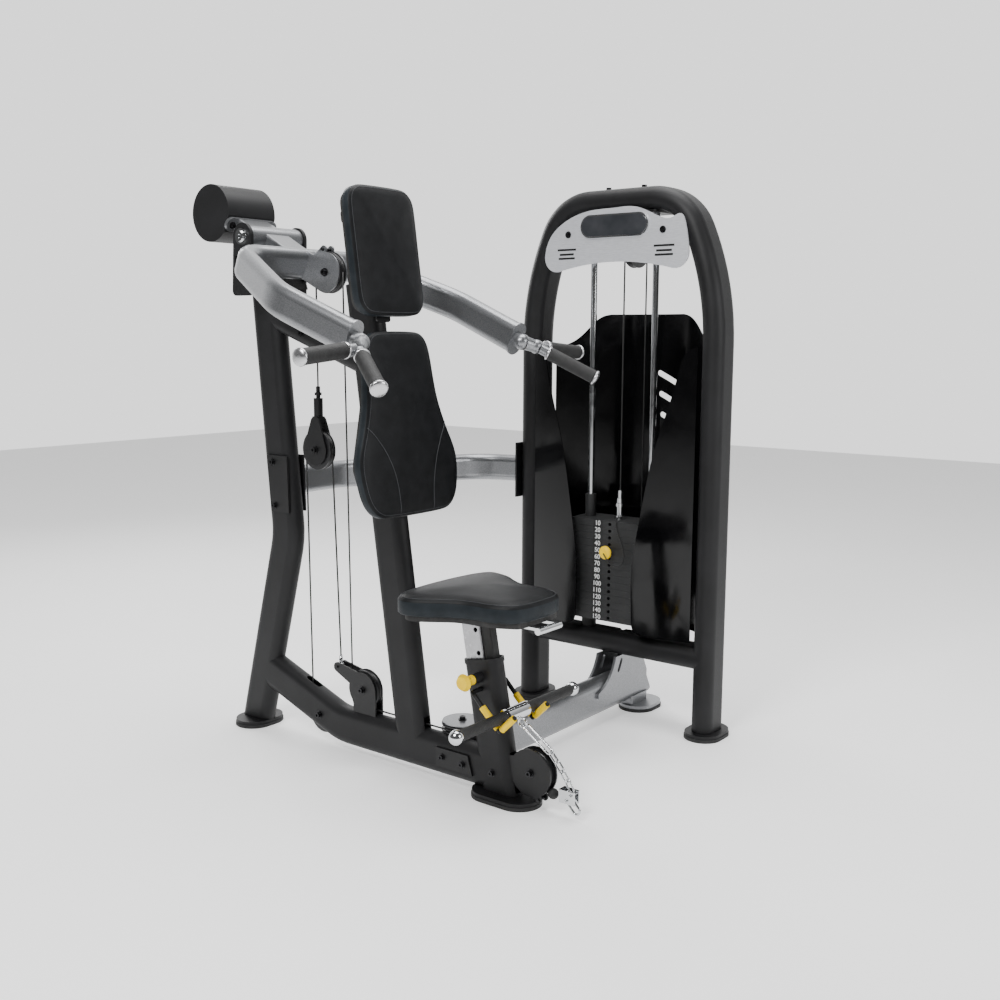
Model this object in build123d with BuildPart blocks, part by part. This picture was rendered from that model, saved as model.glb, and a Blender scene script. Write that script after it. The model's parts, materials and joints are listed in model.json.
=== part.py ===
from build123d import *
import os
from math import acos, atan2, cos, degrees, hypot, radians, sin, tan

os.makedirs("parts", exist_ok=True)

# A plate-selected shoulder press machine with a low pulley. Millimetres. X is the way the user
# faces, Y points from the spine frame to the weight tower, and Z is up. The sizes below are
# measured from the floor point under the rear upright; every piece is shifted at the end so that
# the origin is the bottom centre of the whole machine.

# Steel tube
DEPTH, WIDTH, WALL = 112, 57, 3
SOLE, PLATE = 10, 10
FOOT_TOP = SOLE + PLATE

# Spine frame, all in the plane Y = 0
UPRIGHT = [(-8, 0, -10), (156, 0, 607), (81, 0, 1400)]
BASE_HEIGHT = 76
BASE = [(40, 0, 196), (372, 0, BASE_HEIGHT), (960, 0, BASE_HEIGHT)]
POST_FOOT, POST_LEAN = (654, 0, 80), 8.12
POST_TOP = 1335
CROSS = [(110, 0, 1272), (520, 0, 1130)]
COLUMN_FOOT, COLUMN_LEAN = (965.5, 0, -10), 10.43
COLUMN_TOP = 367.5

# Press arm
PIVOT = (104, 0, 1468)
EAR_Y, EAR_THICK = 95, 10
SHAFT_R, RUNNING = 12.5, 0.05
PIVOT_TUBE_R = 33
ARM_ROOT = (245, 0, 1392)
ARM_SLOPE = atan2(204, 505)
ARM_DEPTH, ARM_WIDTH = 88, 48
ARM_BEND_X, ARM_BEND_Y = 275, 341
ARM_END_X, ARM_END_Y = 505, 319
ARM_ELBOW_Y = 228
HUB = (800, 350, 1165)
FRONT_GRIP_END = (951, 435, 1076)
SIDE_GRIP_END = (813, 549, 1147)
STUB_R, GRIP_R = 14, 19
COUNTERWEIGHT = (-56, 0, 1543)
COUNTERWEIGHT_R, COUNTERWEIGHT_LENGTH = 82, 172

# Pulleys and cable
RIM, GROOVE, SHEAVE = 57, 7, 20
TOP_RIM = 68.5
CABLE_LINE = 4
WRAP = RIM - CABLE_LINE
TOP_WRAP = TOP_RIM - CABLE_LINE
CABLE_R = 2.5
AXLE_R = 6
CHEEK, CHEEK_THICK = 11, 5
ARM_PULLEY = (343, 0, 1366)
FLOATING = (290, 0, 870)
SPINE_PULLEY = (465, 0, 196)
REAR_LOW = (300, 0, 92)
FRONT_LOW = (1059, 0, 96)
CORNER = (779, WRAP, 143)
ANCHOR = (366, 0, 250)
BALL, BALL_R = (1121, 0, 53), 14

# Weight tower
TOWER_X, TOWER_Y = 832, 756
ARCH_DEPTH, ARCH_WIDTH = 114, 67
ARCH_HALF, ARCH_STRAIGHT = 321, 1170
SWEEP_R, SWEEP_TURN, CORNER_R = 823, 24.2, 150
RAIL_Z, RAIL_HEIGHT = 241.5, 67
TOWER_PULLEY = (TOWER_X, 832, 196)
TOP_PULLEY = (TOWER_X, TOWER_Y + TOP_WRAP, 1470)
ROD_R, ROD_HALF = 10, 109
PLATES, SELECTED, PITCH, PLATE_GAP = 15, 5, 21.2, 0.4
STACK_BOTTOM = 313
STACK_WIDTH, STACK_DEPTH = 290, 116
BEAM_LOW, BEAM_HIGH = 34, 150

# Seat, pads and low bar
SEAT_TOP, SEAT_BOTTOM, BOARD_BOTTOM = 562, 500, 486
POST_X, POST_Y = 60, 38
HOLE_PITCH = 61
PIN_Z = 322
BAR, BAR_LENGTH, BAR_R, BAR_GRIP_R = (1000, 10, 240), 530, 12, 14.5
HOOK_VERTEX_Z, HOOK_R, SLEEVE_R = 206.5, 6, 9

pieces = {}


def keep(name, *solids):
    """Files one named piece, made of one solid or a group of separate ones."""
    pieces[name] = [shape for group in solids for shape in group.solids()]


def at_x(x):
    """Plane across X, with Y and Z as its own axes."""
    return Plane.YZ.offset(x)


def at_y(y):
    """Plane across Y, with X and Z as its own axes."""
    return Plane.XZ.offset(-y)


def at_z(z):
    return Plane.XY.offset(z)


def bent(points, radius):
    """Path of straight runs joined by tangent arcs."""
    with BuildLine() as line:
        FilletPolyline(*points, radius=radius)
    return line.wire()


def straight(start, end):
    with BuildLine() as line:
        Line(start, end)
    return line.wire()


def oval_bar(path, across, depth, width):
    """Solid flat oval along a path; the oval's long axis starts out along `across`."""
    with BuildPart() as bar:
        with BuildSketch(Plane(origin=path @ 0, x_dir=across, z_dir=path % 0)):
            SlotOverall(depth, width)
        sweep(path=path)
    return bar.part


def oval_pair(path, across, depth=DEPTH, width=WIDTH):
    """The outside and the hollow of one flat-oval tube."""
    inside = oval_bar(path, across, depth - 2 * WALL, width - 2 * WALL)
    return oval_bar(path, across, depth, width), inside


def in_plane(path):
    """Direction across a path that lies in a plane Y = constant."""
    return (path % 0).cross(Vector(0, 1, 0))


def cut(body, *tools):
    """A solid with others taken away from it."""
    with BuildPart() as left:
        add(body)
        for tool in tools:
            add(tool, mode=Mode.SUBTRACT)
    return left.part


def largest(body):
    return body.solids().sort_by(SortBy.VOLUME)[-1]


def block(low, high, radius=0):
    """Box between two corners, with its upright edges rounded."""
    size = [b - a for a, b in zip(low, high)]
    centre = [(a + b) / 2 for a, b in zip(low, high)]
    with BuildPart() as box:
        with BuildSketch(at_z(low[2])):
            with Locations((centre[0], centre[1])):
                if radius:
                    RectangleRounded(size[0], size[1], radius)
                else:
                    Rectangle(size[0], size[1])
        extrude(amount=size[2])
    return box.part


def rod(start, end, radius, end_radius=None):
    """Round or tapered bar between two points."""
    length = (Vector(end) - Vector(start)).length
    near = Plane(origin=start, z_dir=Vector(end) - Vector(start))
    with BuildPart() as bar:
        with BuildSketch(near):
            Circle(radius)
        if end_radius is None:
            extrude(amount=length)
        else:
            with BuildSketch(near.offset(length)):
                Circle(end_radius)
            loft()
    return bar.part


def ball(centre, radius):
    with BuildPart() as round_end:
        with Locations(centre):
            Sphere(radius)
    return round_end.part


def cap_screw(face, outward, radius=8, height=8):
    """Socket head on a washer, standing on a face."""
    seat = Plane(origin=face, z_dir=outward)
    with BuildPart() as screw:
        with BuildSketch(seat):
            Circle(radius * 1.45)
        extrude(amount=2)
        with BuildSketch(seat.offset(2)):
            Circle(radius)
        extrude(amount=height)
        with BuildSketch(seat.offset(2 + height)):
            RegularPolygon(radius * 0.55, 6)
        extrude(amount=-height * 0.55, mode=Mode.SUBTRACT)
    return screw.part


def both_sides(make, y):
    """The same thing made at Y = -y facing out and at Y = +y facing out."""
    return [make(-y, (0, -1, 0)), make(y, (0, 1, 0))]


def pulley(centre, axis, rim=RIM):
    """Grooved sheave with recessed webs and a plain bore."""
    with BuildPart(Plane(origin=centre, z_dir=axis)) as wheel:
        Cylinder(rim, SHEAVE)
        Torus(rim, GROOVE, mode=Mode.SUBTRACT)
        Cylinder(AXLE_R + RUNNING, SHEAVE, mode=Mode.SUBTRACT)
        for side in (-1, 1):
            with Locations((0, 0, side * (SHEAVE / 2 - 1.5))):
                with Locations((0, 0, 0)):
                    Cylinder(rim - 15, 3, mode=Mode.SUBTRACT)
    with BuildPart(Plane(origin=centre, z_dir=axis)) as hub:
        Cylinder(15, SHEAVE)
        Cylinder(AXLE_R + RUNNING, SHEAVE, mode=Mode.SUBTRACT)
    with BuildPart() as whole:
        add(wheel.part)
        add(hub.part)
    return whole.part


def axle(centre, axis, half):
    """Pulley axle with a screw head on each end, clamped on cheeks whose outsides are at `half`."""
    along = Vector(axis)
    near, far = Vector(centre) - along * half, Vector(centre) + along * half
    return [rod(near, far, AXLE_R), cap_screw(near, -along), cap_screw(far, along)]


def cheeks(outline, inner=CHEEK, thick=CHEEK_THICK):
    """Two equal plates, one each side of the plane Y = 0, from one outline drawn in X and Z."""
    plates = []
    for start in (inner, -inner - thick):
        with BuildPart() as plate:
            with BuildSketch(at_y(start + thick)):
                add(outline)
            extrude(amount=thick)
        plates.append(plate.part)
    return plates


def hull_of(*circles):
    """Outline round several circles, each given as x, z and radius."""
    with BuildSketch() as outline:
        for x, z, radius in circles:
            with Locations((x, z)):
                Circle(radius)
        make_hull()
    return outline.sketch


def arc_about(centre, radius, first, second, start, end):
    """Part circle about a centre in the plane of two unit directions; angles in degrees."""
    points = []
    for angle in (start, (start + end) / 2, end):
        along = Vector(first) * cos(radians(angle)) + Vector(second) * sin(radians(angle))
        points.append(Vector(centre) + along * radius)
    return ThreePointArc(*points)


def cable(line):
    """Round cable along a path."""
    path = line.wire()
    with BuildPart() as strand:
        with BuildSketch(Plane(origin=path @ 0, z_dir=path % 0)):
            Circle(CABLE_R)
        sweep(path=path)
    return strand.part


BELOW_FEET = block((-400, -400, -200), (1500, 1200, FOOT_TOP))
X, Y, Z = Vector(1, 0, 0), Vector(0, 1, 0), Vector(0, 0, 1)

# ---------------------------------------------------------------- spine frame
upright_path = bent(UPRIGHT, 250)
upright_skin, upright_core = oval_pair(upright_path, in_plane(upright_path))

base_path = bent(BASE, 190)
base_skin, base_core = oval_pair(base_path, in_plane(base_path))


def leaning(foot, lean, height):
    """Point at a height on a line that leans back from its foot."""
    return (foot[0] - (height - foot[2]) * tan(radians(lean)), 0, height)


post_path = straight(POST_FOOT, leaning(POST_FOOT, POST_LEAN, POST_TOP))
post_skin = oval_bar(post_path, in_plane(post_path), DEPTH, WIDTH)
post_core_path = straight(POST_FOOT, leaning(POST_FOOT, POST_LEAN, POST_TOP - 6))
post_core = oval_bar(post_core_path, in_plane(post_path), DEPTH - 2 * WALL, WIDTH - 2 * WALL)

cross_path = straight(*CROSS)
cross_skin, cross_core = oval_pair(cross_path, in_plane(cross_path))

column_path = straight(COLUMN_FOOT, leaning(COLUMN_FOOT, COLUMN_LEAN, COLUMN_TOP))
column_skin, column_core = oval_pair(column_path, in_plane(column_path))
column_axis = column_path % 1
column_across = in_plane(column_path)


def column_at(height):
    return Vector(leaning(COLUMN_FOOT, COLUMN_LEAN, height))


keep("rear_upright", cut(upright_skin, upright_core, BELOW_FEET))

cable_slot = block((225, -9, 60), (282, 9, 240), 8)
pulley_slot = block((236, -14, -20), (366, 14, 70), 13)
rear_axle_hole = rod((REAR_LOW[0], -40, REAR_LOW[2]), (REAR_LOW[0], 40, REAR_LOW[2]), AXLE_R)
base_tube = cut(base_skin, base_core, upright_skin, column_skin, cable_slot, pulley_slot,
                rear_axle_hole)
keep("base_tube", base_tube)

post_slot = block((540, -12, 126), (760, 12, 164))
keep("back_post", cut(post_skin, post_core, base_skin, post_slot))
cable_slots = [block((x - 12, -8, 1100), (x + 12, 8, 1320), 7)
               for x in (ARM_PULLEY[0] - WRAP, ARM_PULLEY[0] + WRAP + 2)]
keep("cross_member", largest(cut(cross_skin, cross_core, upright_skin, post_skin, *cable_slots)))

# Ears that hold the press arm, on a cross block welded over the upright's top
with BuildPart() as ears:
    for start in (EAR_Y, -EAR_Y - EAR_THICK):
        with BuildSketch(at_y(start + EAR_THICK)):
            add(hull_of((PIVOT[0], PIVOT[2], 38), (72, 1319, 15), (122, 1319, 15)))
            with Locations((82, 1404)):
                Rectangle(20, 22, mode=Mode.SUBTRACT)
            with Locations((PIVOT[0], PIVOT[2])):
                Circle(SHAFT_R, mode=Mode.SUBTRACT)
        extrude(amount=EAR_THICK)
    with BuildSketch(at_y(EAR_Y)):
        with Locations((98, 1341)):
            RectangleRounded(64, 62, 10)
        with Locations((98, 1341)):
            RectangleRounded(56, 54, 7, mode=Mode.SUBTRACT)
    extrude(amount=2 * EAR_Y)
keep("pivot_bracket", cut(ears.part, upright_skin))

# Seat column, with a lip at its top and a boss for the pull pin
lip_start = column_at(COLUMN_TOP) - column_axis * 12
pin_face = column_at(PIN_Z)
with BuildPart() as column:
    add(column_skin)
    with BuildSketch(Plane(origin=lip_start, x_dir=column_across, z_dir=column_axis)):
        SlotOverall(DEPTH + 5, WIDTH + 5)
    extrude(amount=12)
    add(rod(pin_face - Y * 20, pin_face - Y * 58, 14))
    add(column_core, mode=Mode.SUBTRACT)
    add(rod(pin_face, pin_face - Y * 90, 9), mode=Mode.SUBTRACT)
cable_way = block((860, -9, 28), (1060, 9, 58))
pulley_way = block((985, -13, 28), (1060, 13, 134), 3)
keep("seat_column", cut(column.part, BELOW_FEET, cable_way, pulley_way))

# ---------------------------------------------------------------- link to the tower
LINK_Z, LINK_DEPTH, LINK_WIDTH = 765, 86, 45
link_path = bent([(128, 34.5, LINK_Z), (128, 250, LINK_Z), (330, 690, LINK_Z),
                  (520, 743.5, LINK_Z)], [200, 150])
beyond_tower_plate = block((471.5, 600, 600), (600, 900, 900))
link_skin, link_core = oval_pair(link_path, (0, 0, 1), LINK_DEPTH, LINK_WIDTH)
keep("mid_link_tube", cut(link_skin, link_core, beyond_tower_plate))

beam_path = straight((TOWER_X, 20, (BEAM_LOW + BEAM_HIGH) / 2), (TOWER_X, 960, (BEAM_LOW + BEAM_HIGH) / 2))
beam_skin, beam_core = oval_pair(beam_path, (0, 0, 1), BEAM_HIGH - BEAM_LOW, WIDTH)


def beyond_slant(gap):
    """Everything past the slanted far end of the link beam."""
    with BuildPart() as past:
        with BuildSketch(at_x(TOWER_X - 100)):
            with BuildLine():
                Polyline((857 - gap, 170), (937 - gap, 20), (1100, 20), (1100, 170), close=True)
            make_face()
        extrude(amount=200)
    return past.part


corner_notch = block((700, -10, 126), (900, 116, 200))
tower_notch = block((TOWER_X - 14, 765, 128), (TOWER_X + 14, 900, 200), 6)
beam_shell = cut(beam_skin, cut(beam_core, beyond_slant(5)), beyond_slant(0), base_skin,
                 corner_notch, tower_notch)
keep("link_beam", beam_shell)

with BuildPart() as beam_plates:
    for x in (TOWER_X + WIDTH / 2, TOWER_X - WIDTH / 2 - 8):
        with BuildSketch(at_x(x)):
            with BuildLine():
                Line((597, 95), (597, 112))
                ThreePointArc((597, 112), (659, 148), (692, 207))
                Polyline((692, 207), (816, 207), (816, 236), (864, 236), (880, 218), (880, 98),
                         (597, 95))
            make_face()
            with Locations(Location((716, 176), 62)):
                SlotOverall(46, 13, mode=Mode.SUBTRACT)
            with Locations((TOWER_PULLEY[1], TOWER_PULLEY[2])):
                Circle(AXLE_R, mode=Mode.SUBTRACT)
        extrude(amount=8)
plates_cut = cut(beam_plates.part, beam_skin, beyond_slant(0))
SILVER_FOOT = (850, 872)
with BuildPart() as silver_foot:
    with BuildSketch(at_z(SOLE)):
        with Locations(Location(SILVER_FOOT, 90)):
            SlotOverall(150, 116)
    extrude(amount=PLATE)
    with BuildSketch(at_z(FOOT_TOP)):
        with Locations((TOWER_X, 852)):
            RectangleRounded(60, 90, 6)
    extrude(amount=30)
with BuildPart() as corner_cover:
    with BuildSketch(at_z(CORNER[2] + SHEAVE / 2 + 3)):
        with Locations((CORNER[0], CORNER[1])):
            Circle(55)
            Circle(AXLE_R, mode=Mode.SUBTRACT)
    extrude(amount=3)
with BuildPart() as corner_base:
    with BuildSketch(at_z(118)):
        with Locations((CORNER[0] + 8, 50)):
            RectangleRounded(76, 70, 8)
    extrude(amount=8)
keep("link_beam_plates", plates_cut, cut(silver_foot.part, beam_skin), corner_cover.part,
     cut(corner_base.part, base_skin, beam_skin))

# ---------------------------------------------------------------- tower
UPRIGHT_X = (TOWER_X - ARCH_HALF, TOWER_X + ARCH_HALF)


def arch_path(low):
    """Arch of two uprights, swept inwards and rounded over into a flat top."""
    with BuildLine(at_y(TOWER_Y)) as line:
        side = Line((UPRIGHT_X[0], low), (UPRIGHT_X[0], ARCH_STRAIGHT))
        lean = JernArc(side @ 1, side % 1, SWEEP_R, -SWEEP_TURN)
        turn = JernArc(lean @ 1, lean % 1, CORNER_R, SWEEP_TURN - 90)
        flat = Line(turn @ 1, (2 * TOWER_X - (turn @ 1).X, (turn @ 1).Z))
        down = JernArc(flat @ 1, flat % 1, CORNER_R, SWEEP_TURN - 90)
        out = JernArc(down @ 1, down % 1, SWEEP_R, -SWEEP_TURN)
        Line(out @ 1, (UPRIGHT_X[1], low))
    return line.wire()


arch_line = arch_path(FOOT_TOP)
ARCH_TOP_Z = (arch_line @ 0.5).Z
arch_skin, arch_core = oval_pair(arch_line, (0, 1, 0), ARCH_DEPTH, ARCH_WIDTH)
keep("tower_arch", cut(arch_skin, arch_core))

rail_path = straight((UPRIGHT_X[0], TOWER_Y, RAIL_Z), (UPRIGHT_X[1], TOWER_Y, RAIL_Z))
rail_skin, rail_core = oval_pair(rail_path, (0, 1, 0), ARCH_DEPTH, RAIL_HEIGHT)
rail_notch = block((TOWER_X - 14, 766, 190), (TOWER_X + 14, 840, 300), 6)
keep("tower_rail", cut(rail_skin, rail_core, arch_skin, rail_notch))

ROD_X = (TOWER_X - ROD_HALF, TOWER_X + ROD_HALF)
RAIL_TOP = RAIL_Z + RAIL_HEIGHT / 2
HEAD_Z = ARCH_TOP_Z - ARCH_WIDTH / 2
BUMPER_TOP = STACK_BOTTOM
keep("guide_rods", *[rod((x, TOWER_Y, RAIL_TOP), (x, TOWER_Y, HEAD_Z - 8), ROD_R) for x in ROD_X])

# ---------------------------------------------------------------- feet
FEET = [((0, 0), 90, 150, 116), ((972, 0), 0, 200, 118), ((UPRIGHT_X[0], TOWER_Y), 90, 156, 110),
        ((UPRIGHT_X[1], TOWER_Y), 90, 156, 110)]


def foot_pad(feet, low, high, grow):
    """Flat-ended oval pads on the floor, one for each foot."""
    with BuildPart() as pad:
        for place, turn, length, width in feet:
            with BuildSketch(at_z(low)):
                with Locations(Location(place, turn)):
                    SlotOverall(length + grow, width + grow)
            extrude(amount=high - low)
    return pad.part


keep("foot_plates", foot_pad(FEET, SOLE, FOOT_TOP, 0))
keep("foot_soles", foot_pad(FEET + [(SILVER_FOOT, 90, 150, 116)], 0, SOLE, 4))

# ---------------------------------------------------------------- black brackets
SIDE_PLATE_Z = (680, 846)
with BuildPart() as side_plates:
    for start in (WIDTH / 2, -WIDTH / 2 - 6):
        with BuildSketch(at_y(start + 6)):
            with BuildLine():
                Polyline((104, 846), (190, 846), (194, 680), (118, 680), close=True)
            make_face()
        extrude(amount=6)
tower_plate = block((471.5, 690, 675), (477.5, 770, 852))
with BuildPart() as base_joint:
    with BuildSketch(at_y(-WIDTH / 2)):
        with BuildLine():
            Polyline((758, 50), (758, 102), (868, 102), (884, 50), close=True)
        make_face()
    extrude(amount=6)
with BuildSketch() as hook_outline:
    with Locations((SPINE_PULLEY[0], SPINE_PULLEY[2])):
        Circle(52)
    with BuildLine():
        Polyline((430, 100), (517, 100), (517, 194), (413, 194), (430, 150), close=True)
    make_face()
    add(hull_of((ANCHOR[0], ANCHOR[2] - 4, 14), (440, 222, 24)))
    with Locations((SPINE_PULLEY[0], SPINE_PULLEY[2])):
        Circle(AXLE_R, mode=Mode.SUBTRACT)
    with Locations((ANCHOR[0], ANCHOR[2] - 4)):
        Circle(4, mode=Mode.SUBTRACT)
with BuildSketch() as front_outline:
    with Locations((FRONT_LOW[0], FRONT_LOW[2])):
        Circle(63)
    add(hull_of((1000, 96, 34), (1059, 96, 40)))
    add(hull_of((1086, 31, 9), (1070, 60, 14)))
    with Locations((FRONT_LOW[0], FRONT_LOW[2])):
        Circle(AXLE_R, mode=Mode.SUBTRACT)
    with Locations((1086, 31)):
        Circle(4, mode=Mode.SUBTRACT)
spine_cheeks = [cut(plate, base_skin) for plate in cheeks(hook_outline.sketch)]
front_cheeks = [cut(plate, column_skin) for plate in cheeks(front_outline.sketch)]

# Hanger for the top pulley, and the plate that holds the guide rods under the arch
with BuildPart() as top_hanger:
    for side in (-1, 1):
        x = TOWER_X + side * (CHEEK + CHEEK_THICK / 2) - CHEEK_THICK / 2
        with BuildSketch(at_x(x)):
            add(hull_of((TOP_PULLEY[1], TOP_PULLEY[2], 24), (TOP_PULLEY[1] - 26, HEAD_Z - 34, 26)))
            with Locations((TOP_PULLEY[1], TOP_PULLEY[2])):
                Circle(AXLE_R, mode=Mode.SUBTRACT)
        extrude(amount=CHEEK_THICK)
rod_head = cut(block((TOWER_X - 128, 722, HEAD_Z - 8), (TOWER_X + 128, 832, HEAD_Z), 12), arch_skin)
hanger_plates = cut(top_hanger.part, block((600, 600, HEAD_Z - 8), (1100, 1000, 1700)))

# Steel straps behind the pads
post_up = post_path % 1
post_out = post_up.cross(Y) * -1


def on_post(height, out, y=0.0):
    """Point at a height along the back post and a distance out from its centre line."""
    centre = Vector(leaning(POST_FOOT, POST_LEAN, height))
    return centre + post_out * out + Y * y


STRAP_OUT, BOARD_OUT, PAD_OUT, PAD_FACE = 54, 60, 72, 113


def strap(height, half_width, half_height=16):
    with BuildPart() as bar:
        with BuildSketch(Plane(origin=on_post(height, STRAP_OUT), x_dir=Y, z_dir=post_out)):
            RectangleRounded(2 * half_width, 2 * half_height, 8)
        extrude(amount=BOARD_OUT - STRAP_OUT)
    return bar.part


with BuildPart() as pad_mount:
    for height, half_width in ((1490, 112), (1330, 112), (1130, 104), (800, 120)):
        add(strap(height, half_width))
    add(strap(1370, 26, 150))
keep("frame_brackets", side_plates.part, tower_plate, base_joint.part,
     *spine_cheeks, *front_cheeks, hanger_plates, rod_head, cut(pad_mount.part, post_skin))

# ---------------------------------------------------------------- pivot shaft and stops
shaft_end = EAR_Y + EAR_THICK
with BuildPart() as shaft:
    add(rod(Vector(PIVOT) - Y * shaft_end, Vector(PIVOT) + Y * shaft_end, SHAFT_R))
    for side in (-1, 1):
        with BuildSketch(Plane(origin=Vector(PIVOT) + Y * side * shaft_end, z_dir=Y * side)):
            Circle(24)
        extrude(amount=6, taper=12)
        with BuildSketch(Plane(origin=Vector(PIVOT) + Y * side * (shaft_end + 6), z_dir=Y * side)):
            Circle(17)
        extrude(amount=5, taper=30)
        with BuildSketch(Plane(origin=Vector(PIVOT) + Y * side * (shaft_end + 11), z_dir=Y * side)):
            RegularPolygon(7, 6)
        extrude(amount=-6, mode=Mode.SUBTRACT)
keep("pivot_shaft", shaft.part)

STOP_X = 226
stop_foot = block((STOP_X - 17, -17, 1270), (STOP_X + 17, 17, 1300), 16)
with BuildPart() as stop_rubber:
    with BuildSketch(at_z(1300)):
        with Locations((STOP_X, 0)):
            Circle(17)
    extrude(amount=22)
    with BuildSketch(at_z(1322)):
        with Locations((STOP_X, 0)):
            Circle(21)
    extrude(amount=20, taper=14)
bumpers = []
for x in ROD_X:
    with BuildPart() as bumper:
        add(rod((x, TOWER_Y, RAIL_TOP), (x, TOWER_Y, BUMPER_TOP), 23))
        add(rod((x, TOWER_Y, RAIL_TOP), (x, TOWER_Y, BUMPER_TOP), ROD_R), mode=Mode.SUBTRACT)
    bumpers.append(bumper.part)
keep("rubber_stops", cut(stop_foot, cross_skin), stop_rubber.part, *bumpers)

# ---------------------------------------------------------------- bar hooks
HOOK_Y = (-65, 75)


def hook_points(y, side):
    """Bend points of one hook, from the column out and down into a V and up to its tip."""
    root = column_at(292)
    return [Vector(root.X, side * (WIDTH / 2 - 4), 292), Vector(root.X, y, 292),
            Vector(941, y, 261), Vector(BAR[0], y, HOOK_VERTEX_Z), Vector(1047, y, 253)]


hooks, sleeves = [], []
for hook_y, side in zip(HOOK_Y, (-1, 1)):
    root, corner, shoulder, vertex, tip = hook_points(hook_y, side)
    hooks.append(cut(rod(root, corner, HOOK_R), column_skin))
    hooks.append(ball(corner, HOOK_R))
    hooks.append(rod(corner, shoulder, HOOK_R))
    for start, end in ((shoulder, vertex), (tip, vertex)):
        along = (end - start).normalized()
        hooks.append(rod(start, end, HOOK_R))
        sleeves.append(cut(rod(start + along * 3, end - along * 9, SLEEVE_R),
                           rod(start, end, HOOK_R)))
    hooks.append(ball(vertex, HOOK_R))
with BuildPart() as hook_steel:
    for length in hooks:
        add(length)
keep("bar_hooks", hook_steel.part)
with BuildPart() as hook_grips:
    for length in sleeves:
        add(length)
keep("hook_sleeves", hook_grips.part)

# ---------------------------------------------------------------- shrouds and placard
SHROUD_LOW = 284


def half_outline(points, mirrored):
    """Points given as distance from the tower's middle and height, on one side or both."""
    return [(TOWER_X + mirrored * d, z) for d, z in points]


def curved_sheet(edge_y, middle_y, low, high):
    """Upright sheet, 3 mm thick, bulging from its two edges to the middle."""
    half = ARCH_HALF - ARCH_WIDTH / 2 - 1
    with BuildPart() as sheet:
        with BuildSketch(at_z(low)):
            with BuildLine():
                outer = ThreePointArc((TOWER_X - half, edge_y), (TOWER_X, middle_y),
                                      (TOWER_X + half, edge_y))
                inner = ThreePointArc((TOWER_X - half, edge_y - 3), (TOWER_X, middle_y - 3),
                                      (TOWER_X + half, edge_y - 3))
                Line(outer @ 0, inner @ 0)
                Line(outer @ 1, inner @ 1)
            make_face()
        extrude(amount=high - low)
    return sheet.part


with BuildPart() as rear_outline:
    with BuildSketch(at_y(1000)):
        with BuildLine():
            left = Polyline((TOWER_X - 290, SHROUD_LOW), (TOWER_X - 290, 1160))
            rise = Spline(left @ 1, (TOWER_X - 225, 1190), (TOWER_X - 180, 1240),
                          (TOWER_X - 130, 1263), tangents=[(1, 0.1), (1, 0.1)])
            flat = Line(rise @ 1, (TOWER_X + 130, 1263))
            fall = Spline(flat @ 1, (TOWER_X + 180, 1240), (TOWER_X + 225, 1190),
                          (TOWER_X + 290, 1160), tangents=[(1, -0.1), (1, -0.1)])
            Polyline(fall @ 1, (TOWER_X + 290, SHROUD_LOW), left @ 0)
        make_face()
        for lift in range(3):
            with Locations(Location((TOWER_X + 88, 1060 - 62 * lift), -24)):
                SlotOverall(118 - 14 * lift, 17, mode=Mode.SUBTRACT)
    extrude(amount=500)
with BuildPart() as rear_shroud:
    add(curved_sheet(812, 915, SHROUD_LOW, 1270))
    add(rear_outline.part, mode=Mode.INTERSECT)

wings = []
for mirrored in (-1, 1):
    edge = half_outline([(286, SHROUD_LOW + 10), (150, SHROUD_LOW + 10), (102, SHROUD_LOW + 50),
                         (100, 494), (120, 634), (168, 873), (232, 1090), (286, 1165)], mirrored)
    with BuildPart() as wing_outline:
        with BuildSketch(at_y(800)):
            with BuildLine():
                Polyline(edge[7], edge[0], edge[1])
                Spline(edge[1], edge[2], tangents=[(-mirrored, 0), (0, 1)])
                Spline(*edge[2:8], tangents=[(0, 1), (mirrored, 0.25)])
            make_face()
        extrude(amount=300)
    with BuildPart() as wing:
        add(curved_sheet(700, 664, SHROUD_LOW, 1200))
        add(wing_outline.part, mode=Mode.INTERSECT)
    wings.append(wing.part)
keep("shrouds", rear_shroud.part, *wings)

with BuildPart() as placard:
    with BuildSketch(at_y(697)):
        with BuildLine():
            top = Spline((TOWER_X - 251, 1440), (TOWER_X - 190, 1532), (TOWER_X - 80, 1568),
                         (TOWER_X, 1571), (TOWER_X + 80, 1568), (TOWER_X + 190, 1532),
                         (TOWER_X + 251, 1440), tangents=[(0.12, 1), (0.12, -1)])
            right = ThreePointArc(top @ 1, (TOWER_X + 236, 1400), (TOWER_X + 190, 1392))
            low = ThreePointArc(right @ 1, (TOWER_X, 1414), (TOWER_X - 190, 1392))
            ThreePointArc(low @ 1, (TOWER_X - 236, 1400), top @ 0)
        make_face()
    extrude(amount=4)
    with BuildSketch(at_y(693)):
        with Locations((TOWER_X, 1520)):
            SlotOverall(242, 74)
    extrude(amount=3)
keep("placard", placard.part)

# ---------------------------------------------------------------- pads
def pad_solid(height, points, radii, out_low, out_high, edge):
    """Pad or board on the back post, from one side of its outline, mirrored across the middle."""
    plane = Plane(origin=on_post(height, out_low), x_dir=Y, z_dir=post_out)
    with BuildPart() as pad:
        with BuildSketch(plane):
            with BuildLine():
                side = FilletPolyline(*points, radius=radii)
                mirror(side, about=Plane.YZ)
            make_face()
        extrude(amount=out_high - out_low)
        if edge:
            front = [face for face in pad.faces() if face.normal_at().dot(post_out) > 0.99][0]
            fillet(front.edges(), edge)
    return pad.part


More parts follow.
